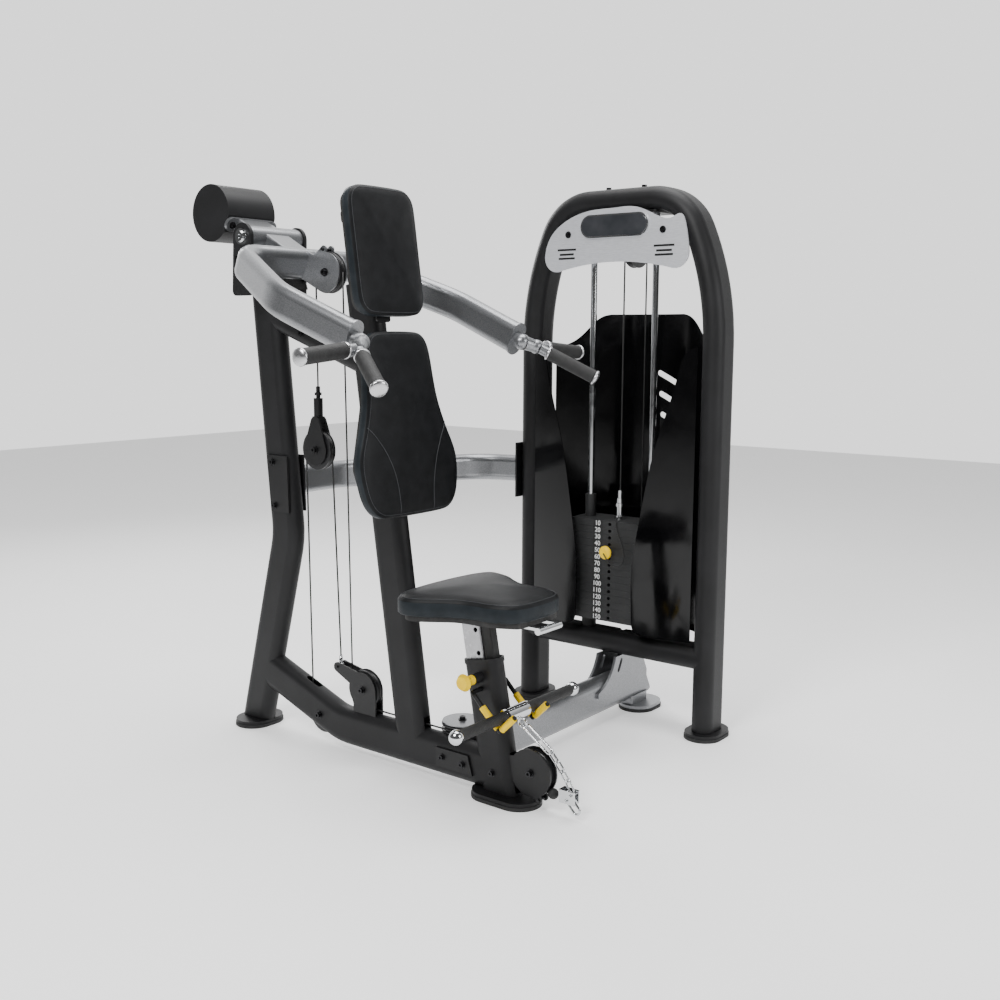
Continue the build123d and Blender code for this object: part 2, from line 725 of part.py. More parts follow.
HEAD_MIDDLE, BACK_MIDDLE = 1401, 949
head_side = [(0, 170), (125, 170), (125, -170), (0, -170)]
back_side = [(0, 245), (125, 245), (137, 60), (192, -105), (160, -245), (0, -245)]
head_board = [(0, 160), (115, 160), (115, -160), (0, -160)]
back_board = [(0, 233), (113, 233), (125, 60), (180, -105), (150, -233), (0, -233)]
keep("head_pad", pad_solid(HEAD_MIDDLE, head_side, [48, 48], PAD_OUT, PAD_FACE, 12))
keep("back_pad", pad_solid(BACK_MIDDLE, back_side, [48, 200, 60, 80], PAD_OUT, PAD_FACE, 12))
keep("pad_boards", pad_solid(HEAD_MIDDLE, head_board, [40, 40], BOARD_OUT, PAD_OUT, 0),
     pad_solid(BACK_MIDDLE, back_board, [40, 190, 52, 72], BOARD_OUT, PAD_OUT, 0))

# ---------------------------------------------------------------- press arm
arm_along = Vector(cos(ARM_SLOPE), 0, -sin(ARM_SLOPE))
arm_normal = Vector(sin(ARM_SLOPE), 0, cos(ARM_SLOPE))


def on_arm(x_step, y):
    """Point in the sloping plane of the press arm, a level distance ahead of its root."""
    return Vector(ARM_ROOT) + arm_along * (x_step / cos(ARM_SLOPE)) + Y * y


arm_line = [on_arm(ARM_END_X, -ARM_END_Y), on_arm(ARM_BEND_X, -ARM_BEND_Y), on_arm(0, -ARM_ELBOW_Y),
            on_arm(0, ARM_ELBOW_Y), on_arm(ARM_BEND_X, ARM_BEND_Y), on_arm(ARM_END_X, ARM_END_Y)]
arm_path = bent(arm_line, [200, 80, 80, 200])
arm_skin, arm_core = oval_pair(arm_path, arm_normal, ARM_DEPTH, ARM_WIDTH)
keep("press_arm_tube", cut(arm_skin, arm_core))

sleeve_end = EAR_Y - 0.5
pivot_skin = rod(Vector(PIVOT) - Y * sleeve_end, Vector(PIVOT) + Y * sleeve_end, PIVOT_TUBE_R)
with BuildPart() as pivot_tube:
    add(pivot_skin)
    add(rod(Vector(PIVOT) - Y * 100, Vector(PIVOT) + Y * 100, SHAFT_R + RUNNING),
        mode=Mode.SUBTRACT)
    add(cut(rod(Vector(PIVOT) - Y * 65, Vector(PIVOT) + Y * 65, 27)), mode=Mode.SUBTRACT)
keep("pivot_tube", pivot_tube.part)

# Handles: an end plate, a hub and two stubs on each side
handles, grips, grip_caps = [], [], []
for side in (-1, 1):
    end = on_arm(ARM_END_X, side * ARM_END_Y)
    along = (arm_path % (0 if side < 0 else 1)) * (-1 if side < 0 else 1)
    hub = Vector(HUB[0], side * HUB[1], HUB[2])
    tips = [Vector(point[0], side * point[1], point[2]) for point in (FRONT_GRIP_END, SIDE_GRIP_END)]
    with BuildPart() as handle:
        with BuildSketch(Plane(origin=end, x_dir=arm_normal, z_dir=along)):
            SlotOverall(ARM_DEPTH + 6, ARM_WIDTH + 6)
        extrude(amount=6)
        add(rod(end + along * 6, end + along * 26, 21))
        add(ball(end + along * 26, 23))
        add(rod(end + along * 26, hub, 20, 17))
        add(ball(hub, 20))
        for tip in tips:
            add(rod(hub, tip - (tip - hub).normalized() * 12, STUB_R))
    handles.append(handle.part)
    for tip in tips:
        out = (tip - hub).normalized()
        start, end_cap = tip - out * 152, tip - out * 12
        grips.append(cut(rod(start, end_cap, GRIP_R), rod(start - out, end_cap + out, STUB_R)))
        with BuildPart() as cap:
            add(rod(end_cap, tip - out * 2, GRIP_R + 1.5, GRIP_R - 1))
            add(rod(tip - out * 2, tip, GRIP_R - 1, GRIP_R - 8))
            add(cut(rod(start - out * 7, start, GRIP_R + 1), rod(start - out * 9, start + out, STUB_R)))
        grip_caps.append(cap.part)
keep("arm_handles", *handles)
keep("handle_grips", *grips)
keep("grip_caps", *grip_caps)

# Counterweight on its own bracket behind the pivot
to_weight = (Vector(COUNTERWEIGHT) - Vector(PIVOT)).normalized()
weight_gap = (Vector(COUNTERWEIGHT) - Vector(PIVOT)).length
SEAT_FLAT = 78
flat_at = Vector(PIVOT) + to_weight * (weight_gap - SEAT_FLAT)
with BuildPart() as counterweight:
    add(rod(Vector(COUNTERWEIGHT) - Y * (COUNTERWEIGHT_LENGTH / 2),
            Vector(COUNTERWEIGHT) + Y * (COUNTERWEIGHT_LENGTH / 2), COUNTERWEIGHT_R))
    with BuildSketch(Plane(origin=flat_at, x_dir=Y, z_dir=-to_weight)):
        Rectangle(300, 300)
    extrude(amount=40, mode=Mode.SUBTRACT)
keep("counterweight", counterweight.part)

with BuildPart() as weight_bracket:
    with BuildSketch(Plane(origin=flat_at, x_dir=Y, z_dir=-to_weight)):
        SlotOverall(184, 42)
    extrude(amount=10)
    with BuildSketch(Plane(origin=flat_at - to_weight * 10, x_dir=Y, z_dir=-to_weight)):
        RectangleRounded(112, 40, 8)
    extrude(amount=60)
    add(pivot_skin, mode=Mode.SUBTRACT)
bracket_piece = largest(weight_bracket.part)

to_yoke = (Vector(ARM_ROOT) - Vector(PIVOT)).normalized()
with BuildPart() as yoke_link:
    with BuildSketch(Plane(origin=PIVOT, x_dir=Y, z_dir=to_yoke)):
        RectangleRounded(88, 46, 6)
    extrude(amount=(Vector(ARM_ROOT) - Vector(PIVOT)).length)
    add(pivot_skin, mode=Mode.SUBTRACT)
    add(arm_skin, mode=Mode.SUBTRACT)
link_piece = largest(yoke_link.part)

KEEPER = (338, 1430)
with BuildSketch() as arm_cheek:
    add(hull_of((ARM_PULLEY[0], ARM_PULLEY[2], 55), (292, 1374, 40)))
    add(hull_of((KEEPER[0], KEEPER[1] - 2, 11), (318, 1404, 18)))
    add(hull_of((250, 1392, 40), (300, 1372, 38)))
    with Locations((ARM_PULLEY[0], ARM_PULLEY[2])):
        Circle(AXLE_R, mode=Mode.SUBTRACT)
    with Locations((KEEPER[0], KEEPER[1] - 2)):
        Circle(4, mode=Mode.SUBTRACT)
arm_cheeks = [largest(cut(plate, arm_skin)) for plate in cheeks(arm_cheek.sketch)]
keep("arm_brackets", bracket_piece, link_piece, *arm_cheeks)

plate_face = flat_at - to_weight * 10
weight_screws = [cap_screw(plate_face + Y * y, -to_weight, 7, 6) for y in (-72, 72)]
half = CHEEK + CHEEK_THICK
keeper_at = (KEEPER[0], 0, KEEPER[1] - 2)
keep("arm_bolts", *weight_screws, *axle(ARM_PULLEY, Y, half),
     rod(Vector(keeper_at) - Y * (half + 6), Vector(keeper_at) + Y * (half + 6), 4))

# ---------------------------------------------------------------- pulleys
keep("arm_pulley", pulley(ARM_PULLEY, Y))
keep("floating_pulley", pulley(FLOATING, Y))
keep("spine_pulley", pulley(SPINE_PULLEY, Y))
keep("rear_low_pulley", pulley(REAR_LOW, Y))
keep("front_low_pulley", pulley(FRONT_LOW, Y))
keep("corner_pulley", pulley(CORNER, Z))
keep("tower_pulley", pulley(TOWER_PULLEY, X))
keep("top_pulley", pulley(TOP_PULLEY, X, TOP_RIM))

# ---------------------------------------------------------------- floating pulley housing
ADJUSTER_TOP = 1050
with BuildSketch() as housing_outline:
    add(hull_of((FLOATING[0], FLOATING[2], 44), (FLOATING[0], FLOATING[2] + 78, 17)))
    with Locations((FLOATING[0], FLOATING[2])):
        Circle(AXLE_R, mode=Mode.SUBTRACT)
HOUSING_TOP = FLOATING[2] + 95
with BuildPart() as housing:
    for plate in cheeks(housing_outline.sketch):
        add(plate)
    add(block((FLOATING[0] - 14, -CHEEK, FLOATING[2] + 74), (FLOATING[0] + 14, CHEEK, HOUSING_TOP)))
    add(rod((FLOATING[0], 0, HOUSING_TOP - 6), (FLOATING[0], 0, HOUSING_TOP + 52), 13))
adjuster = rod((FLOATING[0], 0, HOUSING_TOP + 52), (FLOATING[0], 0, ADJUSTER_TOP), 6)
nut = rod((FLOATING[0], 0, HOUSING_TOP + 60), (FLOATING[0], 0, HOUSING_TOP + 68), 10)
with BuildPart() as adjuster_bolt:
    add(adjuster)
    add(nut)
keep("floating_housing", housing.part, adjuster_bolt.part, *axle(FLOATING, Y, half))

# ---------------------------------------------------------------- cables
STACK_TOP = STACK_BOTTOM + PLATES * PITCH - PLATE_GAP
BOLT_TOP = STACK_TOP + 90
with BuildLine() as main_line:
    Line((TOWER_X, TOWER_Y, BOLT_TOP), (TOWER_X, TOWER_Y, TOP_PULLEY[2]))
    arc_about(TOP_PULLEY, TOP_WRAP, (0, -1, 0), (0, 0, 1), 0, 180)
    Line((TOWER_X, TOP_PULLEY[1] + TOP_WRAP, TOP_PULLEY[2]),
         (TOWER_X, TOWER_PULLEY[1] + WRAP, TOWER_PULLEY[2]))
    arc_about(TOWER_PULLEY, WRAP, (0, 1, 0), (0, 0, -1), 0, 90)
    Line((TOWER_X, TOWER_PULLEY[1], CORNER[2]), (TOWER_X, CORNER[1], CORNER[2]))
    arc_about(CORNER, WRAP, (1, 0, 0), (0, -1, 0), 0, 90)
    Line((CORNER[0], 0, CORNER[2]), (SPINE_PULLEY[0], 0, CORNER[2]))
    arc_about(SPINE_PULLEY, WRAP, (0, 0, -1), (-1, 0, 0), 0, 90)
front_run = rod((SPINE_PULLEY[0] - WRAP, 0, SPINE_PULLEY[2]),
                (ARM_PULLEY[0] + WRAP, 0, ARM_PULLEY[2]), CABLE_R)
rear_run = rod((ARM_PULLEY[0] - WRAP, 0, ARM_PULLEY[2]), (FLOATING[0], 0, ADJUSTER_TOP), CABLE_R)
keep("main_cable", cable(main_line), front_run, rear_run)
with BuildLine() as over_arm:
    arc_about(ARM_PULLEY, WRAP, (1, 0, 0), (0, 0, 1), 0, 180)
keep("arm_cable_wrap", cable(over_arm))

CABLE_END = (BALL[0] - BALL_R - 0.9, 0, BALL[2])
drop, ahead = FRONT_LOW[2] - CABLE_END[2], CABLE_END[0] - FRONT_LOW[0]
CABLE_LEAVES = degrees(atan2(ahead, drop) - acos(WRAP / hypot(ahead, drop)))
with BuildLine() as low_line:
    Line((ANCHOR[0], 0, ANCHOR[2] + 26), (FLOATING[0] + WRAP, 0, FLOATING[2]))
    arc_about(FLOATING, WRAP, (1, 0, 0), (0, 0, 1), 0, 180)
    Line((FLOATING[0] - WRAP, 0, FLOATING[2]), (REAR_LOW[0] - WRAP, 0, REAR_LOW[2]))
    arc_about(REAR_LOW, WRAP, (-1, 0, 0), (0, 0, -1), 0, 90)
    Line((REAR_LOW[0], 0, REAR_LOW[2] - WRAP), (FRONT_LOW[0], 0, FRONT_LOW[2] - WRAP))
    leave = arc_about(FRONT_LOW, WRAP, (0, 0, -1), (1, 0, 0), 0, CABLE_LEAVES)
    Line(leave @ 1, CABLE_END)
with BuildPart() as anchor_fitting:
    add(rod((ANCHOR[0], 0, ANCHOR[2] + 4), (ANCHOR[0], 0, ANCHOR[2] + 26), 6))
    add(rod((ANCHOR[0], -9, ANCHOR[2] - 4), (ANCHOR[0], 9, ANCHOR[2] - 4), 12))
    add(rod((ANCHOR[0], -30, ANCHOR[2] - 4), (ANCHOR[0], 30, ANCHOR[2] - 4), 4),
        mode=Mode.SUBTRACT)
keep("low_cable", cable(low_line), anchor_fitting.part)

# ---------------------------------------------------------------- weight stack
def stack_plate(index):
    """One plate, counted from the top of the stack."""
    low = STACK_BOTTOM + (PLATES - 1 - index) * PITCH
    hole = low + (PITCH - PLATE_GAP) / 2
    with BuildPart() as plate:
        with BuildSketch(at_z(low)):
            with Locations((TOWER_X, TOWER_Y)):
                RectangleRounded(STACK_WIDTH, STACK_DEPTH, 9)
                Circle(14, mode=Mode.SUBTRACT)
            with Locations(*[(x, TOWER_Y) for x in ROD_X]):
                Circle(ROD_R + 1, mode=Mode.SUBTRACT)
        extrude(amount=PITCH - PLATE_GAP)
        add(rod((TOWER_X, TOWER_Y - STACK_DEPTH / 2 - 1, hole), (TOWER_X, TOWER_Y, hole), 5.5),
            mode=Mode.SUBTRACT)
    return plate.part


top_bushings = []
for x in ROD_X:
    with BuildPart() as bushing:
        add(rod((x, TOWER_Y, STACK_TOP), (x, TOWER_Y, STACK_TOP + 70), 17))
        add(rod((x, TOWER_Y, STACK_TOP - 1), (x, TOWER_Y, STACK_TOP + 71), ROD_R + 0.5),
            mode=Mode.SUBTRACT)
    top_bushings.append(bushing.part)
keep("selected_plates", *[stack_plate(i) for i in range(SELECTED)], *top_bushings)
keep("lower_plates", *[stack_plate(i) for i in range(SELECTED, PLATES)])

pin_z = STACK_BOTTOM + (PLATES - SELECTED) * PITCH + (PITCH - PLATE_GAP) / 2
with BuildPart() as selector_rod:
    add(rod((TOWER_X, TOWER_Y, STACK_BOTTOM + 8), (TOWER_X, TOWER_Y, BOLT_TOP - 24), 12))
    add(rod((TOWER_X, TOWER_Y, STACK_TOP), (TOWER_X, TOWER_Y, STACK_TOP + 12), 17))
    add(rod((TOWER_X, TOWER_Y, BOLT_TOP - 50), (TOWER_X, TOWER_Y, BOLT_TOP - 40), 16))
    add(rod((TOWER_X, TOWER_Y, BOLT_TOP - 24), (TOWER_X, TOWER_Y, BOLT_TOP), 8))
    for index in range(PLATES):
        hole = STACK_BOTTOM + (PLATES - 1 - index) * PITCH + (PITCH - PLATE_GAP) / 2
        add(rod((TOWER_X, TOWER_Y - 20, hole), (TOWER_X, TOWER_Y + 20, hole), 5.5),
            mode=Mode.SUBTRACT)
keep("selector_rod", selector_rod.part)

STACK_FRONT = TOWER_Y - STACK_DEPTH / 2
KNOB_R = 21
knob_back = STACK_FRONT - 10
with BuildPart() as pin_shaft:
    add(rod((TOWER_X, TOWER_Y + 12, pin_z), (TOWER_X, knob_back, pin_z), 5))
with BuildPart() as pin_knob:
    add(rod((TOWER_X, knob_back, pin_z), (TOWER_X, knob_back - 14, pin_z), 12, KNOB_R))
    add(rod((TOWER_X, knob_back - 14, pin_z), (TOWER_X, knob_back - 24, pin_z), KNOB_R, KNOB_R - 5))
keep("selector_pin", pin_shaft.part, pin_knob.part)

# Lanyard from the stack bolt to the knob's back, hanging in a loop beside the holes
LANYARD_R = 2
LANYARD = [(TOWER_X + 16, TOWER_Y - 11, STACK_TOP + 6), (TOWER_X + 20, TOWER_Y - 34, STACK_TOP + 10),
           (TOWER_X + 24, STACK_FRONT + 2, STACK_TOP + 12),
           (TOWER_X + 28, STACK_FRONT - 12, STACK_TOP + 3),
           (TOWER_X + 36, STACK_FRONT - 13, STACK_TOP - 30),
           (TOWER_X + 58, STACK_FRONT - 13, STACK_TOP - 78),
           (TOWER_X + 63, STACK_FRONT - 14, STACK_TOP - 116),
           (TOWER_X + 46, STACK_FRONT - 22, STACK_TOP - 138),
           (TOWER_X + 24, STACK_FRONT - 38, STACK_TOP - 126),
           (TOWER_X + 8, STACK_FRONT - 40, pin_z - 6), (TOWER_X + 2, STACK_FRONT - 37, pin_z - 1)]


def corner_radii(points):
    """Largest arc that each corner's two runs leave room for."""
    radii = []
    for before, here, after in zip(points, points[1:], points[2:]):
        one, two = Vector(here) - Vector(before), Vector(after) - Vector(here)
        turn = radians(one.get_angle(two))
        radii.append(0.45 * min(one.length, two.length) / tan(turn / 2))
    return radii


radii = corner_radii(LANYARD)
print("lanyard radii", [round(radius, 1) for radius in radii])
lanyard_path = bent(LANYARD, radii)
with BuildPart() as lanyard:
    with BuildSketch(Plane(origin=lanyard_path @ 0, z_dir=lanyard_path % 0)):
        Circle(LANYARD_R)
    sweep(path=lanyard_path)
print("lanyard length", round(lanyard_path.length, 1))
keep("lanyard", lanyard.part)

# ---------------------------------------------------------------- seat
SEAT_EDGE = [(728, 0), (738, 125), (788, 195), (868, 160), (928, 129), (1003, 122), (1066, 95),
             (1083, 0)]
SEAT_MIDDLE = 905


def seat_solid(low, high, scale_down):
    outline = [(SEAT_MIDDLE + (x - SEAT_MIDDLE) * scale_down, y * scale_down) for x, y in SEAT_EDGE]
    with BuildPart() as seat:
        with BuildSketch(at_z(low)):
            with BuildLine():
                side = Spline(*outline, tangents=[(0, 1), (0, -1)])
                mirror(side, about=Plane.XZ)
            make_face()
        extrude(amount=high - low)
    return seat.part


keep("seat_pad", seat_solid(SEAT_BOTTOM, SEAT_TOP, 1))
seat_board = seat_solid(BOARD_BOTTOM, SEAT_BOTTOM, 0.94)

POST_BOTTOM = 165
POST_BACK, STRIP_AHEAD, STRIP_DEEP, STRIP_WIDE = 16, 29.5, 31, 28
post_start, post_end = column_at(POST_BOTTOM), column_at(BOARD_BOTTOM - 12)
rearwards = column_across * (-POST_BACK if column_across.X > 0 else POST_BACK)
seat_plane = Plane(origin=post_start + rearwards, x_dir=column_across, z_dir=column_axis)
strip_plane = Plane(origin=post_start - rearwards * (STRIP_AHEAD / POST_BACK), x_dir=column_across,
                    z_dir=column_axis)
with BuildPart() as seat_post:
    with BuildSketch(seat_plane):
        RectangleRounded(POST_X, POST_Y, 5)
        RectangleRounded(POST_X - 8, POST_Y - 8, 3, mode=Mode.SUBTRACT)
    extrude(amount=(post_end - post_start).length)
    for step in range(-1, 3):
        hole = pin_face + column_axis * (HOLE_PITCH * step)
        add(rod(hole - Y * 40, hole + Y * 40, 6.5), mode=Mode.SUBTRACT)
    add(block((post_end.X - 70, -60, BOARD_BOTTOM - 6), (post_end.X + 70, 60, BOARD_BOTTOM), 10))
    with BuildSketch(seat_plane.offset((post_end - post_start).length - 24)):
        RectangleRounded(POST_X, POST_Y, 5)
    extrude(amount=34)
    add(block((600, -300, BOARD_BOTTOM), (1300, 300, 700)), mode=Mode.SUBTRACT)
keep("seat_post", seat_post.part)
with BuildPart() as channel:
    with BuildSketch(strip_plane):
        RectangleRounded(STRIP_DEEP, STRIP_WIDE, 4)
    extrude(amount=(post_end - post_start).length + 4)
    add(seat_post.part, mode=Mode.SUBTRACT)
    add(block((600, -300, BOARD_BOTTOM - 6), (1300, 300, 700)), mode=Mode.SUBTRACT)
keep("seat_board", seat_board, channel.part)

HANDLE = (1100, 2, 478)
with BuildPart() as seat_handle:
    add(rod((HANDLE[0], -45, HANDLE[2]), (HANDLE[0], 49, HANDLE[2]), 9))
    for y in (-36, 40):
        add(block((1020, y - 8, 479), (HANDLE[0], y + 8, BOARD_BOTTOM)))
keep("seat_handle", seat_handle.part)

# Pull pin of the seat column
PLUNGER_IN = POST_Y / 2 + 0.5
with BuildPart() as seat_pin:
    add(rod(pin_face - Y * PLUNGER_IN, pin_face - Y * 74, 6))
    add(rod(pin_face - Y * 59, pin_face - Y * 76, 13, 11))
    add(rod(pin_face - Y * 76, pin_face - Y * 92, 14, 23))
    add(rod(pin_face - Y * 92, pin_face - Y * 102, 23, 17))
keep("seat_pin", seat_pin.part)

# ---------------------------------------------------------------- low bar and its fittings
keep("ball_stop", ball(BALL, BALL_R))

def ring(start, end, side, wire, half_width):
    """Closed oval link reaching just past two points, flat in the plane of its length and a side."""
    along = Vector(end) - Vector(start)
    face = Plane(origin=(Vector(start) + Vector(end)) / 2, x_dir=along, z_dir=along.cross(side))
    straight_half = along.length / 2 + wire + 0.1 - half_width
    with BuildLine(face) as line:
        top = Line((-straight_half, half_width), (straight_half, half_width))
        front_arc = ThreePointArc(top @ 1, (straight_half + half_width, 0),
                                  (straight_half, -half_width))
        low = Line(front_arc @ 1, (-straight_half, -half_width))
        ThreePointArc(low @ 1, (-straight_half - half_width, 0), top @ 0)
    path = line.wire()
    with BuildPart() as link:
        with BuildSketch(Plane(origin=path @ 0, z_dir=path % 0)):
            Circle(wire)
        sweep(path=path)
    return link.part


with BuildPart() as clevis:
    add(rod(BALL, (1150, 0, 60), 8))
    add(ball(BALL, BALL_R), mode=Mode.SUBTRACT)
    add(block((1146, -13, 44), (1152, 13, 76)))
    for y in (-10.5, 10.5):
        add(block((1146, y - 2.5, 42), (1192, y + 2.5, 76)))
    add(rod((1181, -19, 66), (1181, 19, 66), 4))
    add(rod((1168, -19, 50), (1168, 19, 50), 4))
CHAIN = [Vector(1177, 0, 74), Vector(1164, 0, 97), Vector(1148, 0, 118), Vector(1131, 0, 138),
         Vector(1112, 0, 158)]
chain = [ring(start, end, Y if index % 2 else Vector(0.5, 0, 0.6), 2.6, 7.5)
         for index, (start, end) in enumerate(zip(CHAIN, CHAIN[1:]))]
quick_link = ring((1172, 0, 46), (1196, 0, 22), Vector(0.7, 0, 0.7), 3.6, 10)
EYE = Vector(1021, 0, 219)
snap_hook = ring(CHAIN[-1], EYE + Vector(8.4, 0, -6.1), Y, 3.3, 11)
keep("pull_chain", clevis.part, *chain, quick_link, snap_hook)

# Swivel sleeve in the middle of the bar, with the eye under it
bar_a, bar_b = Vector(BAR) - Y * (BAR_LENGTH / 2), Vector(BAR) + Y * (BAR_LENGTH / 2)
SWIVEL_HALF = 42
with BuildPart() as swivel:
    add(rod((BAR[0], -SWIVEL_HALF, BAR[2]), (BAR[0], SWIVEL_HALF, BAR[2]), 19))
    add(ring(EYE - Vector(4.4, 0, -4.4), EYE + Vector(7.4, 0, -7.4), Vector(0.7, 0, 0.7), 3.5, 11.4))
    add(rod((BAR[0], -50, BAR[2]), (BAR[0], 50, BAR[2]), BAR_R + RUNNING), mode=Mode.SUBTRACT)
keep("bar_swivel", swivel.part)
with BuildPart() as bar:
    add(rod(bar_a + Y * 20, bar_b - Y * 20, BAR_R))
    for tip, out in ((bar_a, -1), (bar_b, 1)):
        add(ball(tip - Y * out * 19, 19))
keep("low_bar", bar.part)
pieces_bar_grips = []
for start, end in ((-SWIVEL_HALF - 1, bar_a.Y + 30), (SWIVEL_HALF + 1, bar_b.Y - 30)):
    outer = rod((BAR[0], start, BAR[2]), (BAR[0], end, BAR[2]), BAR_GRIP_R)
    pieces_bar_grips.append(cut(outer, bar.part))
keep("bar_grips", *pieces_bar_grips)

# ---------------------------------------------------------------- frame screws
screws = []
for x, z in ((128, 826), (134, 698)):
    screws += both_sides(lambda y, out, x=x, z=z: cap_screw((x, y, z), out, 7, 6), WIDTH / 2 + 6)
screws += [cap_screw((x, -WIDTH / 2 - 6, z), (0, -1, 0), 7, 6) for x, z in ((780, 78), (850, 74))]
screws += both_sides(lambda y, out: cap_screw((945, y, 72), out, 7, 6), WIDTH / 2)
screws += both_sides(lambda y, out: cap_screw((257, y, 1200), out, 7, 6), WIDTH / 2)
screws += axle(REAR_LOW, Y, WIDTH / 2)
screws += axle(SPINE_PULLEY, Y, half) + axle(FRONT_LOW, Y, half)
screws += axle(TOWER_PULLEY, X, WIDTH / 2 + 8) + axle(TOP_PULLEY, X, half)
screws += [rod((CORNER[0], CORNER[1], 126), (CORNER[0], CORNER[1], CORNER[2] + SHEAVE / 2 + 6), AXLE_R)]
screws += [cap_screw((CORNER[0], CORNER[1], CORNER[2] + SHEAVE / 2 + 6), Z, 8, 8)]
for x in (TOWER_X - 62, TOWER_X + 62):
    screws += [rod((x, TOWER_Y, ARCH_TOP_Z + ARCH_WIDTH / 2), (x, TOWER_Y, ARCH_TOP_Z + ARCH_WIDTH / 2 + 9), 8)]
screws += [rod((1086, -half - 4, 31), (1086, half + 4, 31), 4)]
screws += [rod((ANCHOR[0], -half - 4, ANCHOR[2] - 4), (ANCHOR[0], half + 4, ANCHOR[2] - 4), 4)]
screws += [cap_screw((x, 693, z), (0, -1, 0), 7, 3) for x, z in ((TOWER_X - 165, 1500), (TOWER_X + 165, 1500))]
keep("frame_bolts", *screws)

# ---------------------------------------------------------------- written files
everything = Compound(children=[solid.moved(Location()) for group in pieces.values() for solid in group])
middle = everything.bounding_box().center()
shift = Location((-middle.X, -middle.Y, 0))
print("shift", round(-middle.X, 3), round(-middle.Y, 3), everything.bounding_box())
for name, solids in pieces.items():
    if len(solids) == 1:
        placed = solids[0].moved(shift)
    else:
        placed = Compound(children=[solid.moved(shift) for solid in solids])
    placed.label = name
    export_step(placed, f"parts/{name}.step")
print(len(pieces), "pieces")
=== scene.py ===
"""Looks for a plate-selected shoulder press machine with a low pulley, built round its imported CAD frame."""

import json
from math import cos, pi, radians, sin

import bmesh
import bpy
from mathutils import Matrix, Vector
from mathutils.bvhtree import BVHTree

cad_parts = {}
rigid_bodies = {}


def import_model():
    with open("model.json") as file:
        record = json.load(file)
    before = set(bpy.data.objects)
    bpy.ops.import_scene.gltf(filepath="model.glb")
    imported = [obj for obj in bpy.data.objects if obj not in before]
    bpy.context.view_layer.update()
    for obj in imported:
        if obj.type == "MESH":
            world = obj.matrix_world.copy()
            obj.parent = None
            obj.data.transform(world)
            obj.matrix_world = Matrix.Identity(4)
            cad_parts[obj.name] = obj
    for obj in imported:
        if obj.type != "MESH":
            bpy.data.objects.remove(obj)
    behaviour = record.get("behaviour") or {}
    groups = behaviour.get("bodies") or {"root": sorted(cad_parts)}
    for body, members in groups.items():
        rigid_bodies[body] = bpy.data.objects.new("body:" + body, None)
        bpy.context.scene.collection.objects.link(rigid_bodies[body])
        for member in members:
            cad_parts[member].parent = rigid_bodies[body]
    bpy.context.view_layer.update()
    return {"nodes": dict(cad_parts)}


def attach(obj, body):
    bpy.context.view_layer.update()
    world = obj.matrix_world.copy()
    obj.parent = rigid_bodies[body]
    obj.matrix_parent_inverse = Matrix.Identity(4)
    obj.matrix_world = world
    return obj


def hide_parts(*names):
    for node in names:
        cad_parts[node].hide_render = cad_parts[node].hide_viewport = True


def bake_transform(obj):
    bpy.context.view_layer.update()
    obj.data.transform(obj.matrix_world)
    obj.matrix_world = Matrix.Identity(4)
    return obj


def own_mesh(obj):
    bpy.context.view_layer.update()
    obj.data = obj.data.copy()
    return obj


for leftover in list(bpy.data.objects):
    bpy.data.objects.remove(leftover)
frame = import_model()
NODES = frame["nodes"]

# The CAD is drawn in millimetres from the floor point under the rear upright. Its row frame has the
# origin at the bottom centre of the whole machine, and `at` goes from one to the other.
SHIFT = Vector((-0.536, -0.19939, 0))


def at(x, y, z):
    return Vector((x, y, z)) / 1000 + SHIFT


# ---------------------------------------------------------------- materials
def shader(name, colour, rough, metal=0.0, **sockets):
    """Material with its Principled shader and the values that are the same all over it."""
    material = bpy.data.materials.new(name)
    material.use_nodes = True
    main = material.node_tree.nodes["Principled BSDF"]
    main.inputs["Base Color"].default_value = (*colour, 1)
    main.inputs["Roughness"].default_value = rough
    main.inputs["Metallic"].default_value = metal
    for socket, value in sockets.items():
        main.inputs[socket.replace("_", " ")].default_value = value
    return material


def node(material, kind, **values):
    made = material.node_tree.nodes.new(kind)
    for key, value in values.items():
        if key in made.inputs:
            made.inputs[key].default_value = value
        else:
            setattr(made, key, value)
    return made


def join(material, source, output, target, socket):
    material.node_tree.links.new(source.outputs[output], target.inputs[socket])


def place_texture(material, texture, stretch=(1, 1, 1)):
    """Feeds a texture with positions in metres, stretched along an axis."""
    coords = node(material, "ShaderNodeTexCoord")
    mapping = node(material, "ShaderNodeMapping")
    mapping.inputs["Scale"].default_value = stretch
    join(material, coords, "Object", mapping, "Vector")
    join(material, mapping, "Vector", texture, "Vector")


def vary(material, low, high, scale, socket="Base Color", stretch=(1, 1, 1), detail=4):
    """Mottles the colour or the roughness between two values."""
    noise = node(material, "ShaderNodeTexNoise", Scale=scale, Detail=detail)
    place_texture(material, noise, stretch)
    ramp = node(material, "ShaderNodeValToRGB")
    ramp.color_ramp.elements[0].position = 0.35
    ramp.color_ramp.elements[1].position = 0.68
    for stop, value in zip(ramp.color_ramp.elements, (low, high)):
        stop.color = (*value, 1) if isinstance(value, tuple) else (value, value, value, 1)
    join(material, noise, "Fac", ramp, "Fac")
    join(material, ramp, "Color", material.node_tree.nodes["Principled BSDF"], socket)


def bump(material, texture, output, distance, strength=1.0, stretch=(1, 1, 1)):
    """Raises the surface by a texture, on top of any bump that is already there."""
    place_texture(material, texture, stretch)
    main = material.node_tree.nodes["Principled BSDF"]
    lift = node(material, "ShaderNodeBump", Distance=distance, Strength=strength)
    join(material, texture, output, lift, "Height")
    if main.inputs["Normal"].links:
        earlier = main.inputs["Normal"].links[0].from_socket
        material.node_tree.links.new(earlier, lift.inputs["Normal"])
    join(material, lift, "Normal", main, "Normal")


